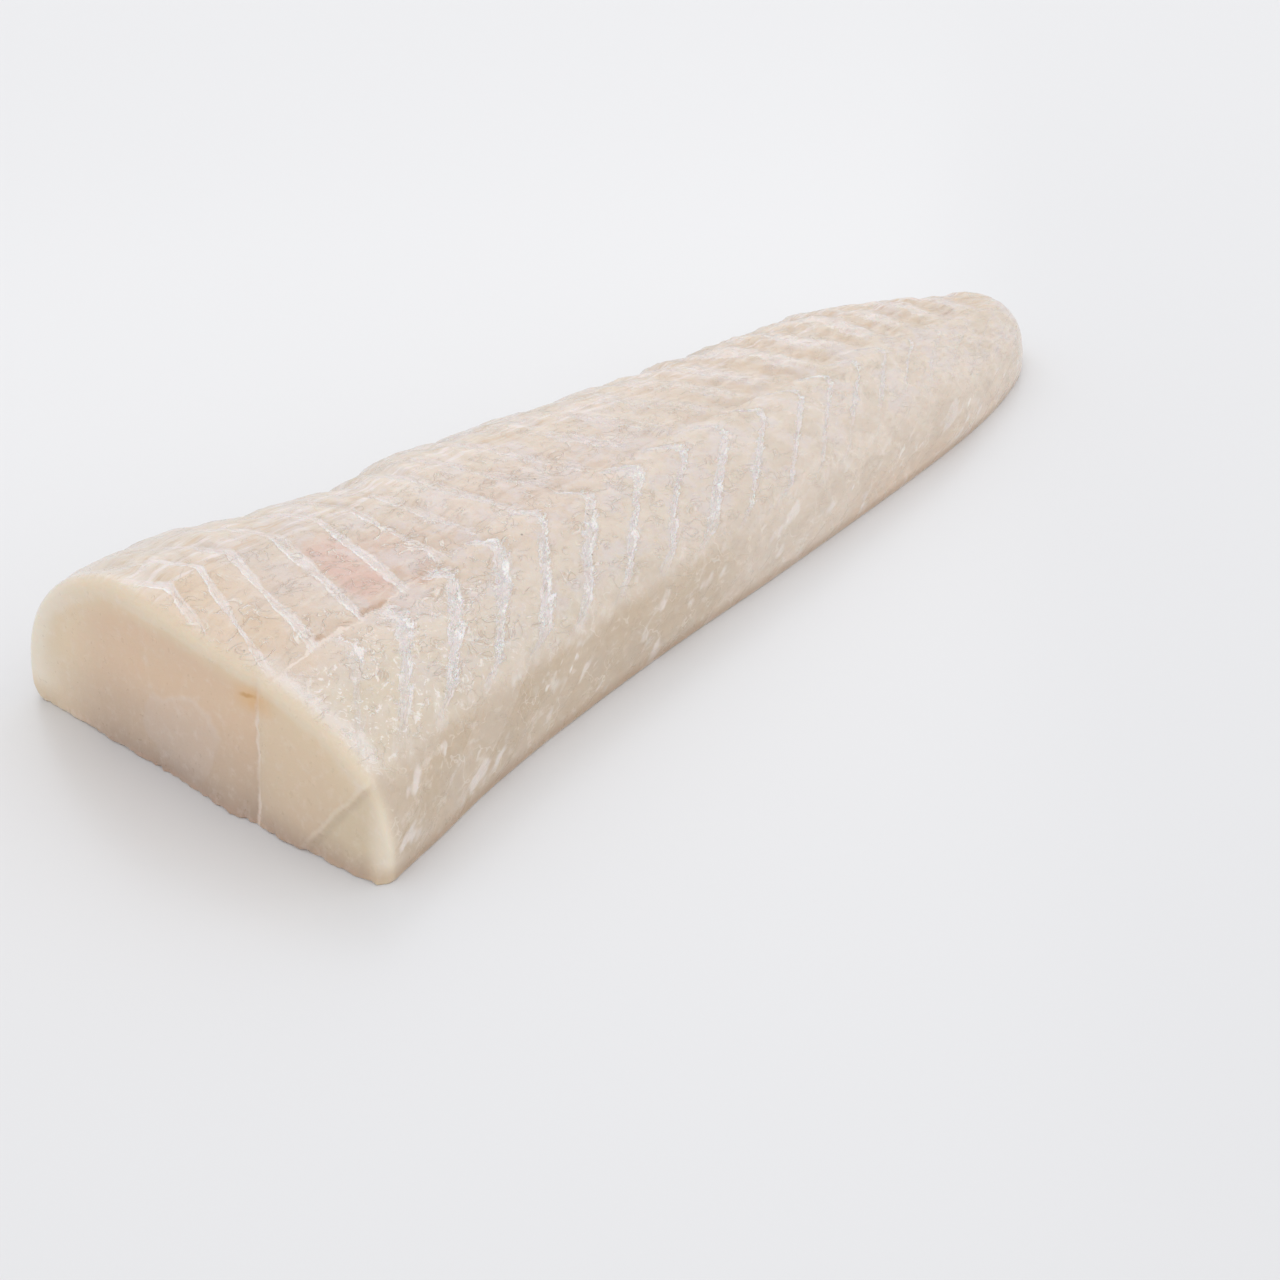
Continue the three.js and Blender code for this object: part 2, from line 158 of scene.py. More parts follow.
@dataclass(frozen=True)
class LoinForm:
    """Outline of the loin and the course of the tissue walls between its flakes."""

    length: float = 297.0
    tail_cap: float = 20.0
    tail_tip_y: float = -43.0
    base_edge_radius: float = 1.0
    # x, rounding at the base of the rounded side
    tuck_radius: tuple[tuple[float, float], ...] = ((0, 4.5), (25, 2.5), (60, 1))
    cut_edge_radius: float = 3.2
    cut_edge_radius_base: float = 0.8
    tail_corner: float = 3.0
    # x, edge on the rounded side, edge on the steep side, crown height
    stations: tuple[tuple[float, float, float, float], ...] = (
        (0, 57, -57, 43),
        (15, 57, -55.6, 43),
        (32, 51, -53.8, 42.6),
        (50, 40.5, -53, 42),
        (64, 35.3, -53, 41.5),
        (84, 36, -53.4, 40.5),
        (110, 29.5, -54.6, 38.5),
        (140, 22.6, -56.8, 36.5),
        (175, 13.8, -58.7, 34),
        (205, 7.6, -60, 31.5),
        (232, 4, -60.6, 29),
        (250, -4, -60, 26.3),
        (268, -14.5, -57.9, 23.4),
        (290, -29, -53.2, 21),
    )
    squareness: tuple[float, float] = (3.75, 2.4)
    shoulder_fall: tuple[float, float] = (0.26, 0.085)
    ridge_share: tuple[float, float] = (0.31, 0.45)
    ridge_shift_start: float = 205.0

    first_wall: float = 5.0
    body_pitch: float = 15.8
    body_walls: int = 11
    tail_pitch: float = 13.0
    lateral_line: tuple[tuple[float, float], ...] = (
        (0, 0.655), (35, 0.652), (60, 0.61), (80, 0.60), (200, 0.585),
    )
    flank_top: float = 0.65
    back_foot: float = 0.6
    fold_line: float = 0.42
    fold_to_base_lean: float = -44.0
    lean_flank: tuple[tuple[float, float], ...] = (
        (0.65, 0), (0.72, -6.5), (0.77, -13), (0.82, -20), (0.85, -28), (1, -64),
    )
    # share of the girth below the lateral line, share of bow_size (near the cut, at the tail)
    flank_bow: tuple[tuple[float, float], ...] = (
        (0, 0), (0.03, 0.95), (0.06, 0.85), (0.11, 0.35), (0.16, 0),
    )
    bow_size: tuple[float, float] = (4.5, 8.5)
    lean_back: tuple[tuple[float, float], ...] = (
        (-27, 24), (-11, 16.5), (5, 13.5), (37, 9.5), (68, 3.8), (84, 3), (110, 0.5),
        (150, 0), (192, -5), (220, -0.5), (280, 0),
    )
    lean_at_fold: tuple[tuple[float, float], ...] = (
        (-27, 36), (-11, 29), (5, 22), (37, 12), (68, -3), (100, -12), (148, -19), (192, -19),
        (218, -10), (231, -2), (280, -2),
    )

    flake_rise: tuple[float, float] = (0.8, 1.5)
    wall_groove: float = 2.4
    ridge_height: float = 0.32
    ridge_drop: float = 0.2
    lateral_hollow: float = 0.3
    hollow_width: float = 0.022

    # y, how far the foot of the cut face stands out
    foot_bulge: tuple[tuple[float, float], ...] = (
        (-57, 2.4), (-56, 4.0), (-54.5, 5.2), (-52, 5.6), (-46, 5.7), (-30, 5.8), (-22, 5.0),
        (-13, 5.8), (-2, 4.7), (15, 2.8), (36, 1.3), (56, 0.2),
    )
    seam_y: tuple[float, float] = (-20.5, -18.8)
    seam_depth: float = 0.5
    seam_width: float = 1.3
    seam_step: float = 0.3
    flap_foot: tuple[float, float] = (-34.2, 0.0)
    flap_head: tuple[float, float] = (-49.7, 21.0)
    flap_step: float = 0.8
    flap_reach: float = 7.0

    @property
    def change(self) -> float:
        """Place along the lateral line where the thinner tail flakes begin."""
        return self.first_wall + self.body_walls * self.body_pitch

    @property
    def cut_height(self) -> float:
        """Height of the crown at the cut face."""
        return self.stations[0][3]

    def station(self, column: int, x: Array) -> Array:
        """Cubic interpolation of one column of the stations.

        Args:
            column: 1 for the rounded edge, 2 for the steep edge, 3 for the crown.
            x: places along the loin.

        Returns:
            The column's value at each place, straight past the last station.
        """
        places = np.array([row[0] for row in self.stations], float)
        values = np.array([row[column] for row in self.stations], float)
        before = np.maximum(np.arange(len(places)) - 1, 0)
        after = np.minimum(np.arange(len(places)) + 1, len(places) - 1)
        slopes = (values[after] - values[before]) / (places[after] - places[before])
        left = np.clip(np.searchsorted(places, x) - 1, 0, len(places) - 2)
        gap = places[left + 1] - places[left]
        t = np.clip((x - places[left]) / gap, 0, 1)
        inside = (
            (2 * t**3 - 3 * t**2 + 1) * values[left]
            + (t**3 - 2 * t**2 + t) * gap * slopes[left]
            + (3 * t**2 - 2 * t**3) * values[left + 1]
            + (t**3 - t**2) * gap * slopes[left + 1]
        )
        past = values[-1] + (x - places[-1]) * slopes[-1]
        return np.where(x >= places[-1], past, inside)

    def section(self, x: Array) -> Section:
        """Sizes of the cross-section at x, with the tail end rounded off."""
        x = np.asarray(x, float)
        cap = np.clip((x - (self.length - self.tail_cap)) / self.tail_cap, 0, 1)
        narrow = np.sqrt(1 - cap**2)
        low = (1 - cap**2.4) ** (1 / 2.4)
        blunt = (1 - cap**self.tail_corner) ** (1 / self.tail_corner)
        edge_round = mix(self.tail_tip_y, self.station(1, x), blunt)
        edge_steep = mix(self.tail_tip_y, self.station(2, x), narrow)
        crown = self.station(3, x) * low
        along = np.clip(x / self.length, 0, 1)
        start = self.ridge_shift_start
        to_tail = np.clip((x - start) / (self.length - start), 0, 1) ** 1.5
        roundest = np.minimum((edge_round - edge_steep) / 5, crown / 3)
        return Section(
            round=edge_round,
            steep=edge_steep,
            ridge=mix(edge_round, edge_steep, mix(*self.ridge_share, to_tail)),
            crown=crown,
            power=mix(*self.squareness, along),
            fall=mix(*self.shoulder_fall, along),
            edge=np.minimum(self.base_edge_radius, roundest),
            tuck=np.minimum(knots(self.tuck_radius, x), roundest),
        )

    def girth_points(self, x: Array, share: Array, samples: int = 90) -> tuple[Array, Array]:
        """Points on the upper curve, placed by their share of its length.

        Args:
            x: place along the loin of each point.
            share: 0 at the rounded side's base, 1 at the steep side's base.
            samples: steps in which the curve's length is measured.

        Returns:
            The y and z of each point.
        """
        size = self.section(x[:, None])
        angle = np.linspace(0, np.pi, samples + 1)[None, :]
        out, up = np.abs(np.cos(angle)), np.abs(np.sin(angle))
        steep = angle > np.pi / 2
        foot = np.where(steep, size.edge, size.tuck)
        reach_out = np.where(steep, out ** (2 / size.power), out)
        height = np.where(steep, up ** (2 / size.power) * (1 - size.fall * reach_out), up)
        edge = np.where(steep, size.steep, size.round)
        y = size.ridge + (edge - size.ridge) * reach_out
        z = mix(foot, size.crown, height)
        steps = np.hypot(np.diff(y, axis=1), np.diff(z, axis=1))
        reach = np.concatenate([np.zeros((len(x), 1)), np.cumsum(steps, axis=1)], axis=1)
        target = share * reach[:, -1]
        right = np.clip((reach < target[:, None]).sum(axis=1), 1, samples)
        rows = np.arange(len(x))
        gap = reach[rows, right] - reach[rows, right - 1]
        t = np.clip((target - reach[rows, right - 1]) / np.maximum(gap, 1e-9), 0, 1)
        return (
            mix(y[rows, right - 1], y[rows, right], t),
            mix(z[rows, right - 1], z[rows, right], t),
        )

    def lean_of_back(self, place: Array, share: Array) -> Array:
        """Shift along x of a wall of the back, against its place on the lateral line."""
        foot = knots(self.lean_back, place)
        fold = knots(self.lean_at_fold, place)
        part = (share - self.fold_line) / (self.back_foot - self.fold_line)
        beyond = fold + self.fold_to_base_lean * (1 - share / self.fold_line)
        return np.where(share >= self.fold_line, mix(fold, foot, part), beyond)

    def count(self, place: Array) -> Array:
        """Count of walls passed at a place on the lateral line."""
        body = (place - self.first_wall) / self.body_pitch
        tail = self.body_walls + (place - self.change) / self.tail_pitch
        return np.where(place < self.change, body, tail)

    def back_count(self, x: Array, share: Array) -> Array:
        """Count of the back's walls passed: whole numbers fall on walls."""
        place = np.array(x, float)
        for _ in range(9):
            place = x - self.lean_of_back(place, share)
        return self.count(place)

    def flank_count(self, x: Array, share: Array) -> Array:
        """Count of the flank's walls passed: whole numbers fall on walls."""
        bow = knots(self.flank_bow, self.below_line(x, share))
        bow = bow * mix(*self.bow_size, smooth(60, 150, x))
        return self.count(x - knots(self.lean_flank, share) - bow)

    def below_line(self, x: Array, share: Array) -> Array:
        """Share of the girth below the lateral line; negative above it, on the back."""
        return share - knots(self.lateral_line, x)

    def unevenness(self, a: Array, b: Array) -> Array:
        """Slow unevenness of the flesh, about one unit high."""
        return (
            0.5 * np.sin(a / 9.7 + b / 13.1 + 1.3)
            + 0.3 * np.sin(a / 5.3 - b / 7.9 + 0.4)
            + 0.2 * np.sin(b / 4.1 + a / 17 + 2.2)
        )

    def pillow(self, count: Array, x: Array) -> Array:
        """Depth of the grooves at the walls: -1 on a wall, 0 on a flake."""
        pitch = np.where(x < self.change, self.body_pitch, self.tail_pitch)
        from_wall = np.abs(count - np.round(count)) * pitch
        return -np.exp(-((from_wall / self.wall_groove) ** 1.4))

    def flake_relief(self, x: Array, y: Array, share: Array) -> Array:
        """Height of the flakes and of the hollow along the lateral line."""
        below = self.below_line(x, share)
        back, flank = self.back_count(x, share), self.flank_count(x, share)
        rise = mix(*self.flake_rise, smooth(150, 240, x))
        ridges = self.ridge_height * np.cos(2 * np.pi * back) - self.ridge_drop
        back_relief = mix(0.5 * self.pillow(back, x), ridges, smooth(95, 150, x)) * rise
        back_relief = back_relief * (1 - smooth(262, 290, x)) * smooth(0.2, 0.36, share)
        strength = (1 - smooth(0.79, 0.87, share)) * (1 - smooth(105, 185, x))
        flank_relief = 0.8 * self.pillow(flank, x) * rise * strength
        hollow = bump(below, self.hollow_width) * (1 - smooth(190, 250, x))
        raised = mix(back_relief, flank_relief, smooth(-0.03, 0.03, below))
        near_tip = smooth(self.length - 2 * self.tail_cap, self.length, x)
        even = (1 - near_tip) * 0.6 * self.unevenness(x, y)
        return raised + even - self.lateral_hollow * hollow

    def face_bulge(self, y: Array, z: Array) -> Array:
        """How far the lower cut face swells out, as a shift along x."""
        low = np.clip(1 - z / (0.8 * self.cut_height), 0, 1) ** 1.2
        return -knots(self.foot_bulge, y) * low

    def seam_distance(self, y: Array, z: Array) -> Array:
        """Distance across the cut face from the seam between its two muscles."""
        return y - mix(*self.seam_y, z / self.cut_height)

    def flap_distance(self, y: Array, z: Array) -> Array:
        """Distance across the cut face from the flap line, negative in the corner."""
        run_y = self.flap_head[0] - self.flap_foot[0]
        run_z = self.flap_head[1] - self.flap_foot[1]
        beyond = (y - self.flap_foot[0]) * run_z - (z - self.flap_foot[1]) * run_y
        return beyond / math.hypot(run_y, run_z)

    def face_relief(self, y: Array, z: Array) -> Array:
        """Seam, flap line and unevenness of the cut face, as a shift along x."""
        seam = self.seam_distance(y, z)
        groove = self.seam_depth * bump(seam, self.seam_width)
        step = -self.seam_step * smooth(3, -3, seam) * (1 - smooth(10, 26, -seam))
        beyond = self.flap_distance(y, z)
        fading = np.exp(np.minimum(beyond, 0) / self.flap_reach) * (1 - smooth(17, 24, z))
        flap = self.flap_step * smooth(0.4, -0.8, beyond) * fading
        return groove + step + flap + 0.4 * self.unevenness(y, z * 1.7)

    def foot_rags(self, y: Array, z: Array) -> Array:
        """Small ragged lip at the foot of the cut face, as a shift along x."""
        rags = [wave(a * 0.45, 3.1) + 0.7 * wave(a * 1.1, 7.7) for a in np.ravel(y)]
        return -0.9 * np.reshape(rags, np.shape(y)) * np.exp(-z / 1.6)


# ---- The mesh of the loin ----


@dataclass
class Skin:
    """Rows of points from the middle of the cut face to the tail tip, with what they carry."""

    form: LoinForm
    rows: dict[str, list[Array]] = field(default_factory=dict)

    def add(self, points: Array, girth: Array, core: float = 0.0, face: float = 0.0,
            rise: Array | float = 0.0) -> None:
        """Adds one row.

        Args:
            points: the row's points, one for each step round the loin.
            girth: share of the girth.
            core: depth from the rim of the cut face, in millimetres.
            face: 1 on the cut face, 0 on the sides.
            rise: how far each point is then raised along its normal.
        """
        x = points[:, 0]
        row = {
            "points": points,
            "back": self.form.back_count(x, girth),
            "flank": self.form.flank_count(x, girth),
            "below": self.form.below_line(x, girth),
            "along": x,
            "girth": girth,
            "core": np.full(len(x), core),
            "face": np.full(len(x), face),
            "rise": np.zeros(len(x)) + rise,
        }
        for name, values in row.items():
            self.rows.setdefault(name, []).append(values)

    def layer(self, name: str) -> Array:
        """One carried value of all rows, each row closed on its first point."""
        rows = np.array(self.rows[name])
        return np.concatenate([rows, rows[:, :1]], axis=1)


@dataclass(frozen=True)
class LoinBody:
    """The whole piece of flesh as one closed skin."""

    form: LoinForm
    girth_steps: int = 190
    corner_steps: int = 4
    underside_steps: int = 72
    face_rows: int = 44
    rim_rows: int = 6
    rows_per_flake: int = 14
    cap_rows: int = 26
    face_middle: tuple[float, float] = (-2.0, 0.42)

    def ring(self, s: float) -> tuple[Array, Array]:
        """One ring of the hull.

        Args:
            s: the ring's station. It leans with the walls, except close to both ends.

        Returns:
            The points (x, y, z) and their share of the girth; the underside runs back to 0.
        """
        form = self.form
        bend = smooth(0, 70, s) * (1 - smooth(225, 288, s))

        def shifted(share: Array) -> Array:
            """Where the ring stands along the loin, leaning with the walls."""
            back = form.lean_of_back(np.full_like(share, s), share)
            flank = knots(form.lean_flank, share)
            lean = mix(back, flank, smooth(form.back_foot - 0.02, form.flank_top + 0.02, share))
            return s + bend * np.clip(lean, -28, 24)

        share = np.linspace(0, 1, self.girth_steps + 1)
        x = shifted(share)
        y, z = form.girth_points(x, share)
        blocks = [np.stack([x, y, z], axis=1)]
        turns = np.arange(1, self.corner_steps + 2) / (self.corner_steps + 1) * np.pi / 2
        corners = {}
        for side, at, inward in ((Side.STEEP, 1.0, 1), (Side.ROUND, 0.0, -1)):
            corner_x = shifted(np.full_like(turns, at))
            size = form.section(corner_x)
            steep = side is Side.STEEP
            base, radius = (size.steep, size.edge) if steep else (size.round, size.tuck)
            corners[side] = np.stack([
                corner_x,
                base + inward * radius * (1 - np.cos(turns)),
                radius * (1 - np.sin(turns)),
            ], axis=1)
        rounded = corners[Side.ROUND][::-1]
        across = np.arange(1, self.underside_steps)[:, None] / self.underside_steps
        under = mix(corners[Side.STEEP][-1], rounded[0], across)
        blocks += [corners[Side.STEEP], under, rounded]
        points = np.concatenate(blocks)
        below = len(points) - len(share)
        return points, np.concatenate([share, np.linspace(1, 0, below + 2)[1:-1]])

    def rim_of(self, points: Array) -> tuple[Array, Array]:
        """Outward direction in the section, and rim radius, for each point of the first ring."""
        step = np.roll(points, -1, axis=0) - np.roll(points, 1, axis=0)
        long = np.hypot(step[:, 1], step[:, 2])
        outward = np.stack([step[:, 2] / long, -step[:, 1] / long], axis=1)
        height = np.clip(points[:, 2] / self.form.section(points[:, 0]).crown, 0, 1)
        radius = mix(self.form.cut_edge_radius_base, self.form.cut_edge_radius, height)
        return outward, radius

    def skin(self) -> Skin:
        """All rows of the skin, from the middle of the cut face to the tail."""
        form, skin = self.form, Skin(self.form)
        first, share = self.ring(0.0)
        outward, radius = self.rim_of(first)

        def rim(turn: float) -> Array:
            """One row round the rim: 0 is level with the cut face."""
            inset = radius * (1 - math.sin(turn))
            y = first[:, 1] - outward[:, 0] * inset
            z = first[:, 2] - outward[:, 1] * inset
            relief = form.face_relief(y, z) * math.cos(turn) + form.foot_rags(y, z)
            x = radius * (1 - math.cos(turn)) + form.face_bulge(y, z) + relief
            return np.stack([x, y, z], axis=1)

        outline = rim(0.0)
        middle = np.array([self.face_middle[0], self.face_middle[1] * form.cut_height])
        for k in range(self.face_rows):
            reach = k / self.face_rows
            yz = mix(middle, outline[:, 1:], reach)
            x = form.face_bulge(yz[:, 0], yz[:, 1]) + form.face_relief(yz[:, 0], yz[:, 1])
            x += form.foot_rags(yz[:, 0], yz[:, 1])
            depth = (1 - reach) * np.median(np.hypot(*(outline[:, 1:] - middle).T))
            skin.add(np.column_stack([x, yz]), share, core=depth, face=1.0)
        for k in range(self.rim_rows):
            turn = math.pi / 2 * k / self.rim_rows
            skin.add(rim(turn), share, face=1 - 0.5 * k / self.rim_rows)

        for s in self.stations():
            points, share = self.ring(s)
            fade = np.clip(1 - (points[:, 0] - form.first_wall / 4) / 14, 0, 1) ** 2
            points[:, 0] += fade * form.face_bulge(points[:, 1], points[:, 2])
            face = 0.45 * (1 - smooth(3, 9, s))
            skin.add(points, share, face=face, rise=self.rise(points, share))
        tip = np.array([form.length, *points[:, 1:].mean(axis=0)])
        skin.add(np.tile(tip, (len(points), 1)), share)
        return skin

    def stations(self) -> Array:
        """Places of the hull's rings along the loin: rows_per_flake to each flake."""
        form = self.form
        step = form.body_pitch / self.rows_per_flake
        body = np.arange(form.first_wall - step, form.change - 0.1, step)
        end = form.length - form.tail_cap
        tail = np.arange(form.change, end, form.tail_pitch / self.rows_per_flake)
        turns = np.linspace(0, 0.49 * np.pi, self.cap_rows)
        return np.concatenate([body, tail, end + form.tail_cap * np.sin(turns)])

    def rise(self, points: Array, share: Array) -> Array:
        """How far each point of a ring is raised: flakes, and small crags between the walls."""
        form = self.form
        x, y = points[:, 0], points[:, 1]
        fade = smooth(0, 9, x) * smooth(0, 0.04, share) * smooth(1, 0.96, share)
        upper = np.arange(len(share)) <= self.girth_steps
        crags, lumps, scallops = np.array([
            (
                wave(px * 0.30, g * 40.0, 1.7) + 0.6 * wave(px * 0.6, g * 80.0, 5.2),
                wave(px * 0.11, g * 13.0, 8.4),
                wave(px * 0.19, g * 5.0, 2.9),
            )
            for px, g in zip(x, share)
        ]).T
        before_tip = 1 - smooth(form.length - form.tail_cap, form.length, x)
        puffy = mix(0.25, 0.7, smooth(100, 180, x)) * smooth(0.58, 0.66, share)
        puffy = puffy * mix(1.0, 0.45, smooth(0.76, 0.82, share))
        rim = smooth(0.10, 0.18, share) * smooth(0.46, 0.38, share)
        craggy = mix(0.24, 0.5, smooth(140, 200, x) * smooth(0.62, 0.56, share))
        relief = form.flake_relief(x, y, share) + before_tip * (
            craggy * crags + puffy * lumps + 1.4 * rim * np.minimum(scallops, 0.1)
        )
        return fade * upper * relief

    def build(self) -> tuple[bpy.types.Object, "FramePlace"]:
        """Rolls a flat grid into the closed skin and raises its flakes.

        Returns:
            The finished object, in metres, in the frame's box, and the move that put it there.
        """
        skin = self.skin()
        points = skin.layer("points")
        rows, columns = points.shape[:2]
        mesh_tool = bmesh.new()
        bmesh.ops.create_grid(mesh_tool, x_segments=columns - 1, y_segments=rows - 1, size=1.0)
        layers = {name: mesh_tool.verts.layers.float.new(name) for name in (*CARRIED, "rise")}
        values = {name: skin.layer(name) for name in layers}
        for vert in mesh_tool.verts:
            column = round((vert.co.x + 1) / 2 * (columns - 1))
            row = round((vert.co.y + 1) / 2 * (rows - 1))
            vert.co = points[row, column]
            for name, layer in layers.items():
                vert[layer] = float(values[name][row, column])
        bmesh.ops.remove_doubles(mesh_tool, verts=mesh_tool.verts[:], dist=1e-4)
        bmesh.ops.recalc_face_normals(mesh_tool, faces=mesh_tool.faces[:])
        mesh_tool.normal_update()
        directions = [vert.normal.copy() for vert in mesh_tool.verts]
        for vert, direction in zip(mesh_tool.verts, directions):
            vert.co += direction * vert[layers["rise"]]
        mesh_tool.verts.layers.float.remove(layers["rise"])
        return self.finish(mesh_tool)

    def finish(self, mesh_tool: bmesh.types.BMesh) -> tuple[bpy.types.Object, "FramePlace"]:
        """Moves the mesh into the frame's box and makes the object of it."""
        place = FramePlace.fitted([vert.co for vert in mesh_tool.verts])
        bmesh.ops.transform(mesh_tool, matrix=place.matrix, verts=mesh_tool.verts[:])
        for face in mesh_tool.faces:
            face.smooth = True
        return formed("loin_flesh", mesh_tool), place


@dataclass(frozen=True)
class FramePlace:
    """The move from the form's millimetres into the frame's metres."""

    matrix: Matrix

    @classmethod
    def fitted(cls, points: Sequence[Vector]) -> "FramePlace":
        """The place and small stretch that fit the box of all points into the CAD box."""
        cloud = np.array([tuple(point) for point in points])
        low, high = cloud.min(axis=0), cloud.max(axis=0)
        box_low, box_high = np.array(CAD_LOW), np.array(CAD_HIGH)
        stretch = (box_high - box_low) / (high - low)
        move = box_low - low * stretch
        log.info("stretch against the frame: %s", np.round(stretch / MM, 4))
        return cls(Matrix.Translation(Vector(move)) @ Matrix.Diagonal((*stretch, 1.0)))

    def point(self, x: float, y: float, z: float) -> Vector:
        """A point of the form, in the frame."""
        return self.matrix @ Vector((x, y, z))


# ---- Shader graphs ----


def adding(operation: str) -> Callable[..., "Value"]:
    """A method of Value that adds a Math node for an operation."""

    def method(self: "Value", *other: "Feed") -> "Value":
        """The result of the operation."""
        return self.graph.math(operation, self, *other)

    return method


class Value:
    """An output of a shader tree; arithmetic on it adds nodes to the tree."""

    __add__ = __radd__ = adding("ADD")
    __mul__ = __rmul__ = adding("MULTIPLY")
    __sub__ = adding("SUBTRACT")
    __truediv__ = adding("DIVIDE")
    __pow__ = adding("POWER")
    __abs__ = adding("ABSOLUTE")
    floor, fraction, rounded = adding("FLOOR"), adding("FRACT"), adding("ROUND")
    root, most = adding("SQRT"), adding("MAXIMUM")

    def __init__(self, graph: "Graph", socket: Socket) -> None:
        """Wraps one socket of a graph."""
        self.graph, self.socket = graph, socket

    def __rsub__(self, other: float) -> "Value":
        """The difference, taken from a plain number."""
        return self.graph.math("SUBTRACT", other, self)

    def step(self, low: "Feed", high: "Feed", start: "Feed" = 0.0, end: "Feed" = 1.0) -> "Value":
        """A smooth step from start at low to end at high."""
        given = {"Value": self, "From Min": low, "From Max": high, "To Min": start, "To Max": end}
        return self.graph.value("ShaderNodeMapRange", given, "Result",
                                interpolation_type="SMOOTHSTEP")

    def window(self, low: float, high: float, soft: float) -> "Value":
        """1 between low and high, with soft ends."""
        return self.step(low - soft, low + soft) * self.step(high + soft, high - soft)

    def near(self, middle: float, outer: float, inner: float) -> "Value":
        """1 within inner of a middle, 0 farther away than outer."""
        return abs(self - middle if middle else self).step(outer, inner)

    def noise(self, scale: float, detail: float = 2.0, rough: float = 0.5,
              twist: float = 0.0) -> "Value":
        """Cloudy noise over this vector, about 0.5 in the middle."""
        return self.graph.value("ShaderNodeTexNoise", {
            "Vector": self, "Scale": scale, "Detail": detail, "Roughness": rough,
            "Distortion": twist})

    def wander(self, scale: float, detail: float = 2.0, rough: float = 0.5) -> "Value":
        """Cloudy noise over this vector, about 0 in the middle."""
        return self.noise(scale, detail, rough) - 0.5


Feed = Value | float | Colour


class Graph:
    """Adds nodes to one tree."""

    def __init__(self, tree: bpy.types.NodeTree) -> None:
        """Starts on a tree."""
        self.tree = tree

    def give(self, node: bpy.types.Node, given: dict[str | int, Feed]) -> None:
        """Links a node's inputs to values of the tree, or sets them to plain ones."""
        for name, value in given.items():
            socket = node.inputs[name]
            if isinstance(value, Value):
                self.tree.links.new(value.socket, socket)
            elif isinstance(value, tuple) and len(value) < len(socket.default_value):
                socket.default_value = (*value, 1.0)
            else:
                socket.default_value = value

    def node(self, kind: str, given: dict[str | int, Feed] | None = None,
             **settings: object) -> bpy.types.Node:
        """A node of a kind, with its settings and what its inputs are given."""
        made = self.tree.nodes.new(kind)
        for name, value in settings.items():
            setattr(made, name, value)
        self.give(made, given or {})
        return made

    def value(self, kind: str, given: dict[str | int, Feed], output: str | int = 0,
              **settings: object) -> Value:
        """One output of a new node."""
        return Value(self, self.node(kind, given, **settings).outputs[output])

    def math(self, operation: str, *given: Feed) -> Value:
        """A Math node."""
        return self.value("ShaderNodeMath", dict(enumerate(given)), operation=operation)

    def blend(self, share: Feed, a: Feed, b: Feed) -> Value:
        """A mix of two colours."""
        return self.value("ShaderNodeMix", {0: share, 6: a, 7: b}, 2, data_type="RGBA")

    def choose(self, share: Feed, a: Feed, b: Feed) -> Value:
        """A mix of two values."""
        return self.value("ShaderNodeMix", {0: share, 2: a, 3: b}, data_type="FLOAT")

    def vector(self, x: Feed, y: Feed, z: Feed = 0.0) -> Value:
        """A vector from three values."""
        return self.value("ShaderNodeCombineXYZ", {0: x, 1: y, 2: z})

    def carried(self, name: str) -> Value:
        """A value that the mesh carries."""
        return self.value("ShaderNodeAttribute", {}, "Fac", attribute_name=name)

    def millimetres(self) -> tuple[Value, Value, Value]:
        """Object coordinates in millimetres: the vector, its y and its z."""
        metres = self.value("ShaderNodeTexCoord", {}, "Object")
        place = self.value("ShaderNodeVectorMath", {0: metres, "Scale": 1 / MM},
                           operation="SCALE")
        y, z = (self.value("ShaderNodeSeparateXYZ", {0: place}, axis) for axis in "YZ")
        return place, y, z

    def group(self, tree: bpy.types.NodeTree, **given: Feed) -> dict[str, Value]:
        """The outputs of a shader group."""
        made = self.node("ShaderNodeGroup", given, node_tree=tree)
        return {socket.name: Value(self, socket) for socket in made.outputs}


def new_material(name: str) -> tuple[bpy.types.Material, Graph, bpy.types.Node]:
    """A material, its graph and its shader."""
    made = bpy.data.materials.new(name)
    made.use_nodes = True
    return made, Graph(made.node_tree), made.node_tree.nodes["Principled BSDF"]


class Coats:
    """A colour that is built up coat by coat."""

    def __init__(self, graph: Graph, colour: Feed) -> None:
        """Starts on a ground colour."""
        self.graph, self.colour = graph, colour

    def lay(self, share: Feed, colour: Feed) -> None:
        """Lays one more coat, as strongly as its share says."""
        self.colour = self.graph.blend(share, self.colour, colour)


class EffectGroup:
    """A shader group that several parts of a finish share; inputs without a value are vectors."""

    name = "effect"
    takes: dict[str, float | None] = {}
    gives: tuple[str, ...] = ()

    def tree(self) -> bpy.types.NodeTree:
        """The group's tree, made the first time it is asked for."""
        found = bpy.data.node_groups.get(self.name)
        if found:
            return found
        tree = bpy.data.node_groups.new(self.name, "ShaderNodeTree")
        for name, value in self.takes.items():
            kind = "NodeSocketVector" if value is None else "NodeSocketFloat"
            socket = tree.interface.new_socket(name, in_out="INPUT", socket_type=kind)
            if value is not None:
                socket.default_value = value
        for name in self.gives:
            tree.interface.new_socket(name, in_out="OUTPUT", socket_type="NodeSocketFloat")
        graph = Graph(tree)
        outputs = graph.node("NodeGroupInput").outputs
        source = {name: Value(graph, outputs[name]) for name in self.takes}
        graph.give(graph.node("NodeGroupOutput"), self.fill(graph, source))
        return tree

    def fill(self, graph: Graph, source: dict[str, Value]) -> dict[str, Value]:
        """Makes the nodes between the inputs and the outputs."""
        raise NotImplementedError


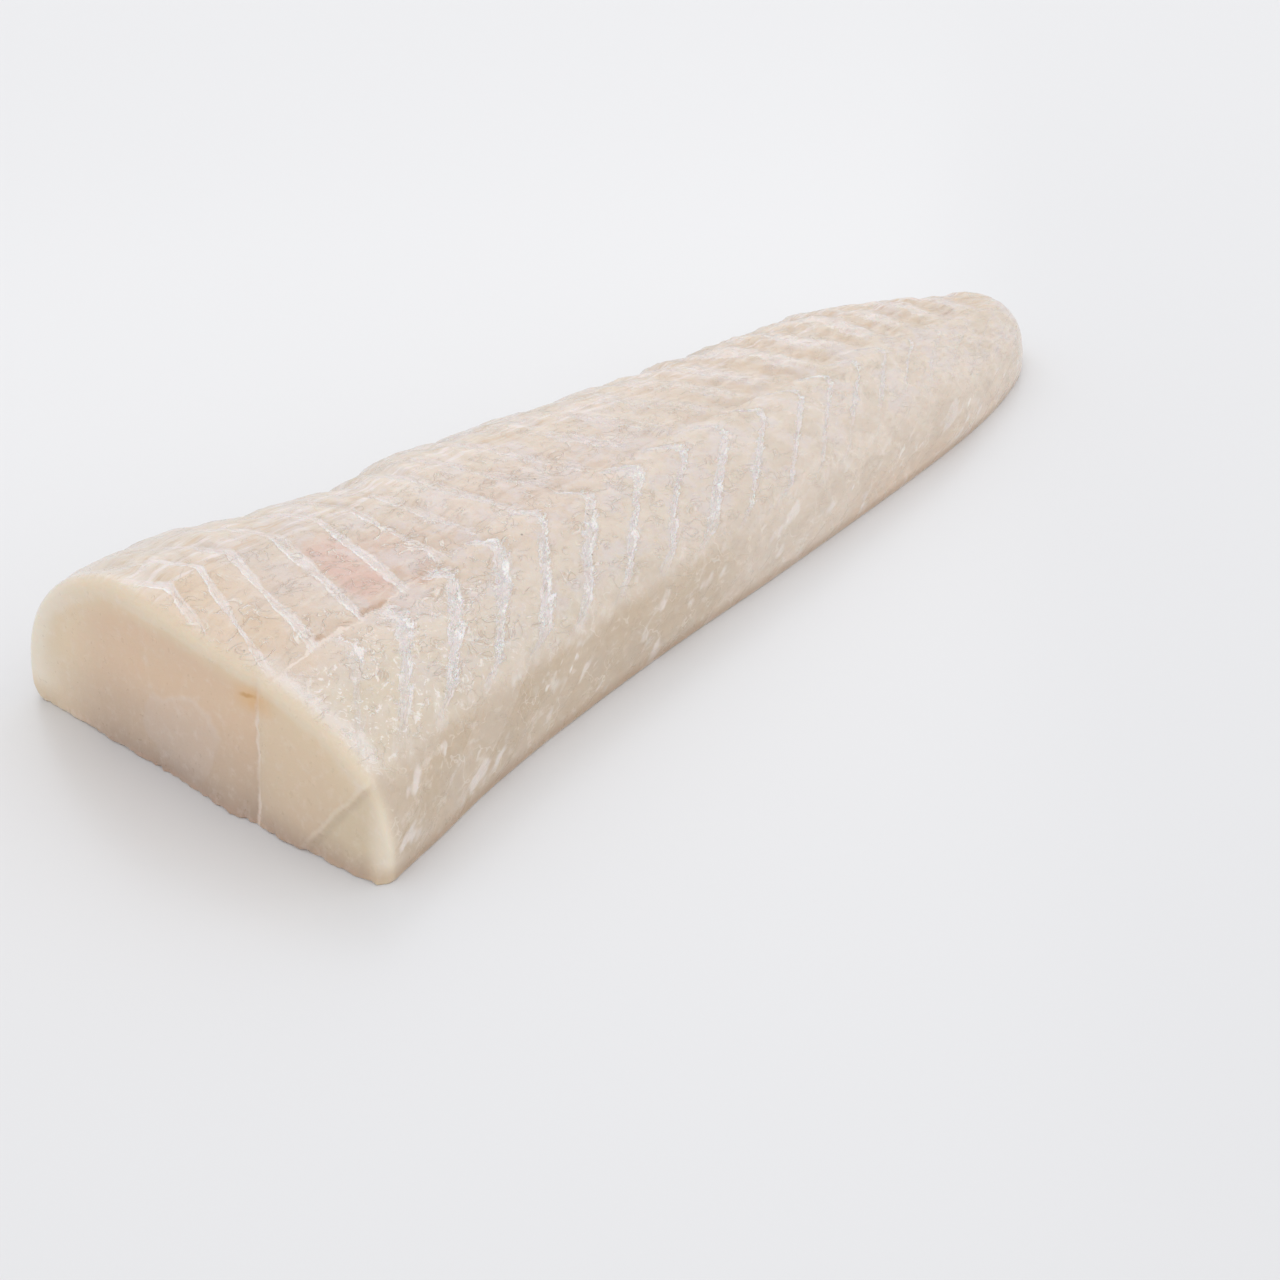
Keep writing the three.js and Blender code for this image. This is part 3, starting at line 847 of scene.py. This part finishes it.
class WallTissue(EffectGroup):
    """White tissue along the walls: ragged bright strands on a pale film, with painted highlight
    and shade lines.
    """

    name = "wall_tissue"
    takes = {"Walls": 0.0, "Course": 0.0, "Width": 1.5, "Ragged": 0.5, "Edge": 1.0, "Strands": 1.0}
    gives = ("Thread", "Film", "GapShade", "Flake")

    def fill(self, graph: Graph, source: dict[str, Value]) -> dict[str, Value]:
        """Draws everything from the distance to the nearest wall.

        Args:
            graph: the group's tree.
            source: Walls, the count of walls passed; Course, millimetres down the wall; Width,
                half the band's width in millimetres; Ragged, how far strands stray; Edge and
                Strands, the strength of the line on the cut side and of those inside.

        Returns:
            Thread and Film masks, GapShade (a painted shade line beside the strands) and Flake (a
            value for each flake). The Thread's line on the cut side is a painted highlight.
        """
        walls, course = source["Walls"], source["Course"]
        surface = graph.vector(walls * FLAKE_LENGTH, course, 4.4)
        slow = surface.wander(0.10, 1)
        quick, fine = surface.wander(0.45, 3, 0.65), surface.wander(1.3, 2, 0.6)
        stray = (quick + fine * 0.7) * source["Ragged"]
        bent = walls + slow * 0.16
        nearest = bent.rounded()
        across = (bent - nearest) * FLAKE_LENGTH + stray * 6
        swelling = graph.vector(nearest * 9.7, course * 0.09, 3.1).noise(1, 2)
        width = source["Width"] * swelling.step(0.3, 0.7, 0.55, 1.45)
        within = abs(across) / width
        veil = surface.noise(0.22, 2, 0.6).step(0.3, 0.58, 0.45, 1)

        def line(offset: float, half: float, seed: float) -> Value:
            """A broken line beside the wall, at an offset in widths."""
            drawn = abs(across + width * offset).step(half, half * 0.3)
            broken = graph.vector(nearest * 3.3, course * 0.28, seed)
            return drawn * broken.noise(1, 2).step(0.36, 0.56)

        combed = graph.vector(across * 1.1, course * 0.22, 7.7)
        strands = combed.noise(1, 3, 0.65).step(0.49, 0.60) * within.step(1.35, 0.6)
        inner = strands.most(line(-0.5, 0.5, 6)) * source["Strands"]
        flake = graph.vector(bent.floor() * 4.31, 0.5)
        return {
            # the line on the cut side is a painted highlight; the inner strands are the white
            # tissue itself
            "Thread": (line(0.95, 0.6, 2) * source["Edge"]).most(inner),
            "Film": within.step(1.25, 0.75) * veil,
            # painted shade: a dark line beside the strands
            "GapShade": line(-1.35, 0.4, 9) * source["Strands"],
            "Flake": flake.noise(1, 0),
        }


class FibreTexture(EffectGroup):
    """Short curling pale fibres, each with a fine dark line beside it: painted highlight and
    shade, in the flesh's own fibre and brown creases' colours.
    """

    name = "fibre_texture"
    takes = {"Vector": None, "Size": 2.5}
    gives = ("Fibre", "CreaseShade", "Height")

    def fill(self, graph: Graph, source: dict[str, Value]) -> dict[str, Value]:
        """Takes neighbouring contour lines of twisted noise.

        Args:
            graph: the group's tree.
            source: Vector in millimetres, and Size, the fibres' length in millimetres.

        Returns:
            Fibre and CreaseShade masks, a painted highlight and a painted shade, and Height for a
            bump.
        """
        size = graph.vector(*(source["Size"],) * 3)
        base = graph.value("ShaderNodeVectorMath", {0: source["Vector"], 1: size},
                           operation="DIVIDE")

        def strokes(level: float, half: float, scale: float, shift: float) -> Value:
            """Lines along one level of twisted noise."""
            moved = graph.value(
                "ShaderNodeVectorMath", {0: base, 1: (shift, shift * 0.7, shift * 1.3)},
                operation="ADD")
            return moved.noise(scale, 2, 0.55, 1.4).near(level, half, half * 0.2)

        clouds = base.noise(0.5, 2)

        def curls(level: float, half: float) -> Value:
            """Strokes in two sizes, each in its own patches."""
            large = strokes(level, half, 0.7, 0) * clouds.step(0.50, 0.62)
            small = strokes(level - 0.03, half - 0.002, 1, 9) * clouds.step(0.46, 0.36)
            return large.most(small)

        fibre, crease_shade = curls(0.50, 0.024), curls(0.55, 0.020)
        height = fibre - crease_shade * 0.5 + base.noise(2.6, 3, 0.6) * 0.6
        return {"Fibre": fibre, "CreaseShade": crease_shade, "Height": height}


# ---- Finishes ----


class Course(Enum):
    """What the reach of a tint runs over: millimetres, or walls of the back."""

    ALONG = "along"
    BACK = "back"


@dataclass(frozen=True)
class Tint:
    """A soft patch of colour on the outside of the flesh."""

    reach: tuple[float, float]
    girth: tuple[float, float]
    soft: tuple[float, float]
    strength: float
    colour: Colour
    course: Course = Course.ALONG


@dataclass(frozen=True)
class FleshFinish:
    """Moist, slightly see-through cod flesh with white tissue between its flakes."""

    back: Colour = (0.715, 0.603, 0.503)
    flank: Colour = (0.750, 0.645, 0.545)
    pearl: Colour = (0.790, 0.690, 0.595)
    lavender: Colour = (0.735, 0.655, 0.635)
    tissue: Colour = (0.97, 0.915, 0.88)
    film: Colour = (0.845, 0.765, 0.74)
    film_beyond: Colour = (0.77, 0.675, 0.645)
    film_tail: Colour = (0.85, 0.75, 0.69)
    rim_film: Colour = (0.85, 0.775, 0.72)
    fibre: Colour = (0.88, 0.80, 0.725)
    shade: Colour = (0.50, 0.37, 0.275)
    # painted shade in the fibre creases and beside the wall strands, in the brown of the flesh's
    # own creases
    crease_shade: Colour = (0.59, 0.44, 0.325)
    cord: Colour = (0.85, 0.73, 0.64)
    cord_shade: Colour = (0.54, 0.33, 0.20)
    speck: Colour = (0.20, 0.15, 0.12)
    # painted shade: a thin dark line along the base of the flank, at the table
    foot: Colour = (0.40, 0.27, 0.17)
    # painted shade in the hollows between the ridges of the tail
    valley_shade: Colour = (0.64, 0.48, 0.345)
    far_streak: Colour = (0.66, 0.49, 0.345)
    blotch: Colour = (0.60, 0.50, 0.41)
    glow: Colour = (0.82, 0.52, 0.25)
    face_core: Colour = (0.80, 0.59, 0.415)
    face_rim: Colour = (0.83, 0.67, 0.47)
    # the pale rim of the cut face, and a painted highlight along the flap line
    face_edge_and_flap_highlight: Colour = (0.90, 0.81, 0.68)
    face_ivory: Colour = (0.93, 0.835, 0.69)
    # painted shade at the foot of the cut face, where it meets the table
    face_foot_shade: Colour = (0.43, 0.31, 0.235)
    face_far: Colour = (0.92, 0.77, 0.56)
    face_near: Colour = (0.82, 0.67, 0.48)
    # painted shade: the greyer, darker lower cut face, also the line beyond the flap step
    face_low_shade: Colour = (0.53, 0.41, 0.315)
    face_corner: Colour = (0.735, 0.61, 0.435)
    seam: Colour = (0.93, 0.80, 0.70)
    smear: Colour = (0.66, 0.36, 0.13)
    tints: tuple[Tint, ...] = (
        Tint((-9, 20), (0.40, 0.635), (9, 0.03), 0.9, (0.72, 0.535, 0.365)),
        Tint((20, 130), (0.49, 0.63), (14, 0.035), 0.6, (0.68, 0.53, 0.44)),
        Tint((-9, 110), (0.61, 0.70), (12, 0.035), 0.6, (0.71, 0.57, 0.46)),
        Tint((1.16, 1.92), (0.47, 0.63), (0.10, 0.035), 0.9, (0.72, 0.47, 0.40),
             Course.BACK),
        Tint((2.10, 2.95), (0.50, 0.625), (0.10, 0.02), 0.6, (0.68, 0.465, 0.375),
             Course.BACK),
        Tint((48, 55), (0.617, 0.645), (3, 0.010), 0.7, (0.60, 0.34, 0.23)),
        Tint((36, 50), (0.642, 0.668), (6, 0.015), 0.6, (0.63, 0.42, 0.31)),
        Tint((10, 15), (0.655, 0.675), (4, 0.012), 0.5, (0.74, 0.52, 0.34)),
        Tint((23, 31), (0.632, 0.652), (5, 0.012), 0.6, (0.62, 0.44, 0.31)),
        Tint((-9, 34), (0.72, 0.86), (12, 0.035), 0.85, (0.725, 0.625, 0.485)),
        Tint((34, 110), (0.76, 0.85), (12, 0.03), 0.6, (0.70, 0.61, 0.49)),
        Tint((190, 300), (0.42, 0.72), (30, 0.05), 0.5, (0.755, 0.65, 0.535)),
        # painted light: paler ivory-green along the far upper edge, for light shining through the
        # thin flesh there
        Tint((-9, 330), (0.25, 0.405), (9, 0.02), 0.6, (0.74, 0.655, 0.54)),
        # painted shade: the lower flank near the cut darker and browner, for its shading and the
        # table's shadow on it
        Tint((-9, 130), (0.86, 1.2), (14, 0.02), 0.9, (0.575, 0.45, 0.315)),
        Tint((130, 330), (0.86, 1.2), (14, 0.03), 0.6, (0.69, 0.58, 0.47)),
        Tint((175, 262), (0.93, 1.2), (30, 0.05), 0.5, (0.72, 0.53, 0.375)),
    )
    subsurface: float = 0.35
    subsurface_radius: Colour = (1.0, 0.62, 0.42)
    subsurface_scale: float = 0.005
    ior: float = 1.38
    coat: float = 0.5
    coat_roughness: float = 0.10
    roughness: tuple[float, float] = (0.20, 0.22)
    fibre_length: float = 2.9
    bump_strength: float = 0.6
    bump_distance: float = 0.0005

    def build(self, form: LoinForm) -> bpy.types.Material:
        """The material, for a mesh of this form that carries what Skin lists."""
        made, graph, shader = new_material("moist_cod_flesh")
        flesh = FleshShader(self, form, graph)
        graph.give(shader, {
            "Base Color": graph.blend(flesh.on_face, flesh.side_colour(), flesh.cut_colour()),
            "Roughness": flesh.rough(),
            "Subsurface Weight": self.subsurface,
            "Subsurface Radius": self.subsurface_radius,
            "Subsurface Scale": self.subsurface_scale,
            "IOR": self.ior,
            "Coat Weight": self.coat,
            "Coat Roughness": self.coat_roughness,
            "Normal": flesh.bump(),
        })
        return made


class FleshShader:
    """The nodes of the flesh, from its place and from what the mesh carries."""

    def __init__(self, finish: FleshFinish, form: LoinForm, graph: Graph) -> None:
        """Makes what the parts of the shader share, in the material's graph."""
        self.finish, self.form, self.graph = finish, form, graph
        self.place, self.y, self.z = graph.millimetres()
        self.carried = {name: graph.carried(name) for name in CARRIED}
        self.along, self.girth = self.carried["along"], self.carried["girth"]
        self.down = self.girth * GIRTH_LENGTH
        self.patchy = self.place.noise(0.16, 3, 0.6)
        self.on_flank = self.carried["below"].step(-0.004, 0.008)
        self.on_face = self.carried["face"].step(0.40, 0.85)
        self.tissue = self.wall_tissue()
        self.shown = self.walls_fade()
        grain = graph.vector(self.along * 0.6, self.down, 3.3)
        self.fibres = graph.group(FibreTexture().tree(), Vector=grain,
                                  Size=finish.fibre_length)
        # fibres show most on the near flank and along the lateral line
        self.bare = self.along.step(190, 70, 0.2, 1) * self.girth.window(0.44, 0.82, 0.05)

    def wall_tissue(self) -> dict[str, Value]:
        """Masks of the tissue on the back and on the flank, joined at the lateral line."""
        graph, along, tree = self.graph, self.along, WallTissue().tree()
        astray = self.place.wander(0.05, 3, 0.6) * along.step(42, 80, 0, 0.75)
        astray = astray * along.step(200, 150, 0.45, 1)
        back = graph.group(
            tree, Walls=self.carried["back"] + astray, Course=self.down,
            Width=along.step(40, 170, 1.35, 2.4), Ragged=along.step(40, 90, 0.30, 0.75),
            Edge=along.step(150, 50, 0.35, 0.85), Strands=0.3)
        flank = graph.group(
            tree, Walls=self.carried["flank"], Course=self.down,
            Width=along.step(100, 190, 1.8, 0.8), Ragged=0.9, Edge=0.6, Strands=1)
        return {
            name: graph.choose(self.on_flank, back[name], flank[name])
            for name in WallTissue.gives
        }

    def walls_fade(self) -> Value:
        """How strongly the tissue shows: it fades low on the flank and towards the tail."""
        along, girth, choose = self.along, self.girth, self.graph.choose
        flank = girth.step(0.865, 0.80) * along.step(275, 205, 0.15, 1)
        flank = flank * choose(along.step(150, 200), 1, girth.step(0.80, 0.72))
        flank = flank * along.step(8, 34, 0.25, 1)
        back = along.step(280, 262) * along.step(1, 8, 0.2, 1)
        back = back * girth.step(0.28, 0.42, 0.10, 1)
        inset = choose(along.step(90, 160), -0.006, -0.045)
        ends = (self.carried["below"] - inset).step(0.03, -0.01)
        back = back * choose(along.step(60, 110), 1, ends)
        return choose(self.on_flank, back, flank)

    def rough(self) -> Value:
        """Roughness: uneven, and smoother on the threads of the sides."""
        least, spread = self.finish.roughness
        uneven = self.place.noise(0.5, 3, 0.6) * spread + least
        return uneven - self.tissue["Thread"] * ((1 - self.on_face) * 0.08)

    def bump(self) -> Value:
        """Small relief: raised threads, fibres and creases; the cut face is smoother."""
        height = self.fibres["Height"] * (self.bare * 0.8 + 0.2)
        for name, strength in (("Thread", 0.9), ("Film", 0.4)):
            height = height + self.tissue[name] * (self.shown * strength)
        flat = self.place.noise(0.22, 3, 0.6) * 1.2 + self.place.noise(1.6, 2, 0.6) * 0.12
        return self.graph.value("ShaderNodeBump", {
            "Strength": self.finish.bump_strength, "Distance": self.finish.bump_distance,
            "Height": self.graph.choose(self.on_face, height, flat)})

    def side_colour(self) -> Value:
        """Lays everything that colours the back and the flanks.

        Returns:
            Their colour.
        """
        graph, tone, choose = self.graph, self.finish, self.graph.choose
        along, girth, on_flank, patchy = self.along, self.girth, self.on_flank, self.patchy
        softly = self.carried["below"].step(-0.05, 0.10)
        coats = Coats(graph, graph.blend(softly, tone.back, tone.flank))
        for tint in tone.tints:
            run = self.carried[tint.course.value].window(*tint.reach, tint.soft[0])
            share = run * girth.window(*tint.girth, tint.soft[1])
            weak = tint.strength * 0.6
            coats.lay(share * patchy.step(0.3, 0.62, weak, tint.strength), tint.colour)
        pale = self.tissue["Flake"] * 0.4 + patchy * 0.7
        coats.lay(pale.step(0.44, 0.8, 0, 0.5), tone.pearl)
        veil = self.place.noise(0.11, 4, 0.7).step(0.46, 0.60) * girth.step(0.84, 0.78)
        coats.lay(veil * along.step(8, 50, 0.2, 0.6), tone.lavender)
        flow = graph.vector(along * choose(on_flank, 0.20, 0.45), self.down + along * 0.10, 0.7)
        mottle = flow.noise(0.55, 4, 0.65)
        coats.lay(mottle.step(0.48, 0.30) * choose(on_flank, 0.36, 0.18), tone.shade)
        coats.lay(mottle.step(0.53, 0.70, 0, 0.60), tone.pearl)
        # painted shade in the hollows between the ridges of the back, towards the tail
        between = self.carried["back"].fraction().near(0.5, 0.34, 0.08)
        valley_shade = between * along.step(110, 190)
        valley_shade = valley_shade * ((1 - on_flank) * along.step(285, 268)) * girth.step(0.20, 0.38)
        coats.lay(valley_shade * patchy.step(0.35, 0.6, 0.15, 0.55), tone.valley_shade)
        self.streaks(coats)
        self.films(coats)
        self.lateral_line(coats)
        self.rim_tissue(coats)
        self.specks(coats)
        # painted contact shade along the very base of the flank
        coats.lay(girth.step(0.975, 1, 0, 0.6), tone.foot)
        # white strands of the walls, each band with a painted highlight line on its cut side
        coats.lay(self.tissue["Thread"] * self.shown, tone.tissue)
        return coats.colour

    def films(self, coats: Coats) -> None:
        """Lays film and painted shade lines along the walls, then fibres and creases with painted
        highlight and shade, and painted highlight flecks.

        Args:
            coats: the colour so far.
        """
        graph, tone, choose = self.graph, self.finish, self.graph.choose
        along, on_flank, shown, bare = self.along, self.on_flank, self.shown, self.bare
        film = graph.blend(along.step(55, 100), tone.film, tone.film_beyond)
        film = graph.blend(along.step(130, 180), film, tone.film_tail)
        film = graph.blend(on_flank, film, tone.film)
        sheer = self.patchy.step(0.30, 0.62, along.step(150, 200, 0.4, 0.6), 0.85)
        broken = self.place.noise(0.075, 4, 0.65).step(0.46, 0.60, 0.08, 1)
        middle = along.step(45, 75) * along.step(190, 160)
        sheer = choose(on_flank, sheer * choose(middle, 1, broken), 0.85)
        coats.lay(self.tissue["Film"] * (shown * sheer), film)
        # painted shade: dark lines beside the strands of the walls
        gap = choose(on_flank, along.step(35, 75, 0.22, 0.55), 0.34)
        coats.lay(self.tissue["GapShade"] * (shown * gap), tone.crease_shade)
        # fibres and their creases: painted highlight and painted shade, in the flesh's own pale
        # and brown
        coats.lay(self.fibres["CreaseShade"] * (bare * 0.44), tone.crease_shade)
        coats.lay(self.fibres["Fibre"] * (bare * 0.85), tone.fibre)
        # painted highlight: small bright flecks for the wet sparkle on the near flank
        fleck_glints = self.place.noise(0.38, 4, 0.75, 1.5).step(0.55, 0.64) * (
            along.step(80, 20, 0.15, 1) * self.girth.window(0.68, 0.85, 0.03))
        coats.lay(fleck_glints * 0.72, tone.tissue)

    def streaks(self, coats: Coats) -> None:
        """Lays long soft streaks low on the flank, and along the far edge of the back.

        Args:
            coats: the colour so far.
        """
        graph, tone, along, girth = self.graph, self.finish, self.along, self.girth
        swept = graph.choose(0.5, self.carried["flank"] * FLAKE_LENGTH, along)

        def drawn(run: float, fall: float, seed: float, detail: float,
                  rough: float = 0.5) -> Value:
            """Noise drawn out along the walls."""
            return graph.vector(swept * run, self.down * fall, seed).noise(1, detail, rough)

        strokes, band = drawn(0.13, 0.14, 1.9, 2.5, 0.55), girth.window(0.855, 1.2, 0.012)
        coats.lay(strokes.step(0.57, 0.68, 0, 0.75) * band, tone.rim_film)
        skirt = drawn(0.22, 0.20, 6.1, 4, 0.65).step(0.51, 0.63, 0, 0.4)
        skirt = skirt * girth.window(0.815, 0.865, 0.02) * along.step(260, 150)
        coats.lay(skirt, tone.rim_film)
        coats.lay(strokes.step(0.46, 0.30, 0, 0.16) * band, tone.shade)
        glint = drawn(0.24, 0.22, 8.2, 2).step(0.66, 0.74) * girth.window(0.875, 0.93, 0.02)
        coats.lay(glint * 0.6, tone.tissue)
        self.membranes(coats)
        far = girth.window(0.16, 0.435, 0.02) * girth.step(0.26, 0.38, 0.28, 1)
        lines = graph.vector(along * 0.09, self.down * 0.9, 5.3).noise(1, 3, 0.6)
        coats.lay(far * lines.step(0.52, 0.64, 0, 0.7), tone.film)
        coats.lay(far * lines.step(0.44, 0.32, 0, 0.6), tone.far_streak)

    def membranes(self, coats: Coats) -> None:
        """Darker blotches with thin pale outlines, on the tail and low on the flank."""
        cloud = self.place.noise(0.11, 3, 0.55)
        tail = self.girth.window(0.62, 1.2, 0.04) * self.along.step(110, 180)
        spread = self.girth.window(0.80, 1.2, 0.04).most(tail)
        coats.lay(cloud.step(0.50, 0.42, 0, 0.24) * spread, self.finish.blotch)
        broken = self.place.noise(0.17, 2).step(0.45, 0.60, 0, 0.4)
        coats.lay(cloud.near(0.505, 0.011, 0.003) * broken * spread, self.finish.fibre)

    def rim_tissue(self, coats: Coats) -> None:
        """Whitish tissue just behind the rim of the cut."""
        off = self.along - 3.4 + self.place.wander(0.28, 4, 0.7) * 8
        film = abs(off).step(3.4, 0.8) * self.girth.step(0.56, 0.72, 0.12, 0.6)
        coats.lay(self.girth.window(0.30, 0.84, 0.02) * film, self.finish.rim_film)

    def lateral_line(self, coats: Coats) -> None:
        """Thin pale cord along the lateral line, with a warm shade beside it."""
        wobble = self.place.wander(0.22, 3, 0.6) * 3.6
        off = self.carried["below"] * GIRTH_LENGTH + wobble
        fading = self.along.step(75, 30)
        shadow = off.near(-0.9, 0.9, 0.1) * self.place.noise(0.20, 2).step(0.48, 0.60)
        coats.lay(shadow * (fading * 0.6), self.finish.cord_shade)
        broken = self.place.noise(0.13, 3, 0.6).step(0.40, 0.55, 0.25, 0.9)
        coats.lay(off.near(0, 0.42, 0.15) * broken * fading, self.finish.cord)

    def specks(self, coats: Coats) -> None:
        """Few tiny dark specks."""
        cells = self.graph.node("ShaderNodeTexVoronoi", {"Vector": self.place, "Scale": 0.2})
        away, code = (Value(self.graph, cells.outputs[name]) for name in ("Distance", "Color"))
        chosen = self.graph.value("ShaderNodeSeparateColor", {0: code}).step(0.70, 0.72)
        coats.lay(away.step(0.085, 0.045) * chosen * (self.bare * 0.7), self.finish.speck)

    def cut_colour(self) -> Value:
        """Lays everything that colours the cut face, by place across it.

        Returns:
            Its colour.
        """
        tone, form, place = self.finish, self.form, self.place
        y, z = self.y - FORM_SHIFT, self.z
        clouds = place.wander(0.06, 3, 0.55)
        depth = self.carried["core"] + clouds * 9
        bent = place.wander(0.14, 3, 0.6) * 4.2
        seam = form.seam_distance(y, z) + bent
        near = seam.step(0.4, -0.4)

        coats = Coats(self.graph, tone.face_core)
        coats.lay(y.step(26, 50, 0, 0.85), tone.face_far)
        coats.lay(near * 0.6, tone.face_near)
        coats.lay(depth.step(11, 1.5) * z.step(6, 18) * 0.9, tone.face_rim)
        # painted shade: the cut face darker and greyer towards its bottom
        low_shade = z.step(27, 1) * y.step(50, 22, 0.3, 1)
        coats.lay(low_shade * ((1 - near) * 0.40 + 0.45), tone.face_low_shade)
        patch = ((y - 3) * 0.085) ** 2 + ((z - 12) * 0.085) ** 2
        patch = patch.root() + clouds * 1.2
        coats.lay(patch.step(1, 0.9) * 0.16, tone.lavender)
        arc = patch.near(0.93, 0.13, 0.01) * (z.step(14, 20) * y.step(16, 9))
        coats.lay(arc * 0.11, tone.tissue)
        edge = depth.step(4, 0.4, 0, 0.9) * z.step(2, 10)
        coats.lay(edge * y.step(30, 50, 0.45, 1), tone.face_edge_and_flap_highlight)
        coats.lay(y.step(43, 56.5) * z.step(2, 8) * 0.9, tone.face_ivory)

        flap, under = form.flap_distance(y, z) + bent * 0.5, z.step(27, 20)
        coats.lay(flap.step(0.4, -0.6) * under * 0.7, tone.face_corner)
        # painted shadow beyond the flap's step, and a painted highlight along its edge
        coats.lay(flap.near(-0.9, 1.4, 0.1) * (under * 0.18), tone.face_low_shade)
        coats.lay(flap.near(0.7, 0.9, 0.1) * (under * 0.35), tone.face_edge_and_flap_highlight)
        coats.lay(y.step(-50, -56.5) * z.step(1, 5) * 0.85, tone.face_ivory)
        # painted shade: a dark ragged band along the foot of the cut face
        ragged = z + place.wander(0.16, 3, 0.6) * 5
        foot = ragged.step(8.5, -1) * y.step(46, 12, 0.15, 1)
        coats.lay(foot * y.step(-54.5, -50, 0.3, 1) * 0.8, tone.face_foot_shade)
        coats.lay(place.noise(0.35, 4, 0.65).step(0.50, 0.75, 0, 0.16), tone.tissue)

        glow = seam.near(1, 9, 0.5) * z.near(30, 4.5, 0.5)
        coats.lay(glow * 0.7, tone.glow)
        smear = seam.near(3.2, 3.4, 0.4) * (z + bent * 0.8).near(30.8, 0.9, 0.1)
        coats.lay(smear * 0.75, tone.smear)
        thread = seam.near(0, 0.8, 0.1) * place.noise(0.12, 2).step(0.35, 0.6, 0.15, 0.6)
        coats.lay(thread * z.step(34, 31), tone.seam)
        return coats.colour


# ---- Studio ----


@dataclass(frozen=True)
class Lamp:
    """One soft square light that faces the middle of the table, in metres and watts."""

    name: str
    at: Point
    side: float
    power: float
    colour: Colour = (1.0, 1.0, 1.0)
    mirrored: bool = True

    def hang(self) -> None:
        """Hangs the light."""
        data = bpy.data.lights.new(self.name, "AREA")
        data.size = self.side
        data.energy = self.power
        data.color = self.colour
        lamp = linked(self.name, data)
        lamp.location = self.at
        lamp.visible_glossy = self.mirrored
        lamp.rotation_euler = facing(-Vector(self.at))


@dataclass(frozen=True)
class Studio:
    """Pale table, soft light from above and behind, and the camera."""

    camera_place: Point = (-258.9, -305.7, 299.8)
    camera_ahead: Point = (0.6722, 0.4853, -0.5592)
    lens: float = 61.875
    sensor: float = 36.0
    floor_side: float = 8.0
    floor_lift: float = 5e-5
    floor_colour: Colour = (0.80, 0.80, 0.81)
    floor_roughness: float = 0.27
    floor_ior: float = 1.6
    sky: Colour = (0.98, 0.985, 1.0)
    sky_strength: float = 0.88
    lamps: tuple[Lamp, ...] = (
        Lamp("top_back", (0.55, 0.60, 0.75), 1.0, 1.85, (1.0, 0.995, 0.98)),
        Lamp("front_right", (0.50, -0.80, 0.62), 1.1, 2.0, mirrored=False),
    )

    def set_camera(self, place: FramePlace) -> None:
        """Stands the camera at its place in the form's own frame."""
        data = bpy.data.cameras.new("camera")
        data.lens = self.lens
        data.sensor_width = self.sensor
        camera = linked("camera", data)
        camera.location = place.point(*self.camera_place)
        camera.rotation_euler = facing(Vector(self.camera_ahead))
        bpy.context.scene.camera = camera

    def lay_floor(self) -> None:
        """Lays a wide pale table, a hair above the underside so that no faces coincide."""
        mesh_tool = bmesh.new()
        bmesh.ops.create_grid(mesh_tool, x_segments=1, y_segments=1, size=self.floor_side / 2,
                              matrix=Matrix.Translation((0.0, 0.0, self.floor_lift)))
        floor = formed("table", mesh_tool)
        made, graph, shader = new_material("pale_table")
        graph.give(shader, {
            "Base Color": self.floor_colour, "Roughness": self.floor_roughness,
            "IOR": self.floor_ior})
        floor.data.materials.append(made)

    def build(self, place: FramePlace) -> None:
        """Sets up the whole studio."""
        self.set_camera(place)
        self.lay_floor()
        world = bpy.data.worlds.new("studio")
        world.use_nodes = True
        Graph(world.node_tree).give(
            world.node_tree.nodes["Background"],
            {"Color": self.sky, "Strength": self.sky_strength})
        bpy.context.scene.world = world
        bpy.context.scene.view_settings.view_transform = "Standard"
        for lamp in self.lamps:
            lamp.hang()


# ---- Assembly ----


def main() -> None:
    """Builds every piece in order and reports it."""
    logging.basicConfig(level=logging.INFO, format="%(name)s: %(message)s")
    form = LoinForm()
    flesh, place = LoinBody(form).build()
    flesh.data.materials.append(FleshFinish().build(form))
    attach(flesh, BODY)
    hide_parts(NODE)
    log.info("flesh: %d points, %d faces", len(flesh.data.vertices), len(flesh.data.polygons))

    Studio().build(place)
    log.info("studio set up")


if __name__ == "__main__":
    main()
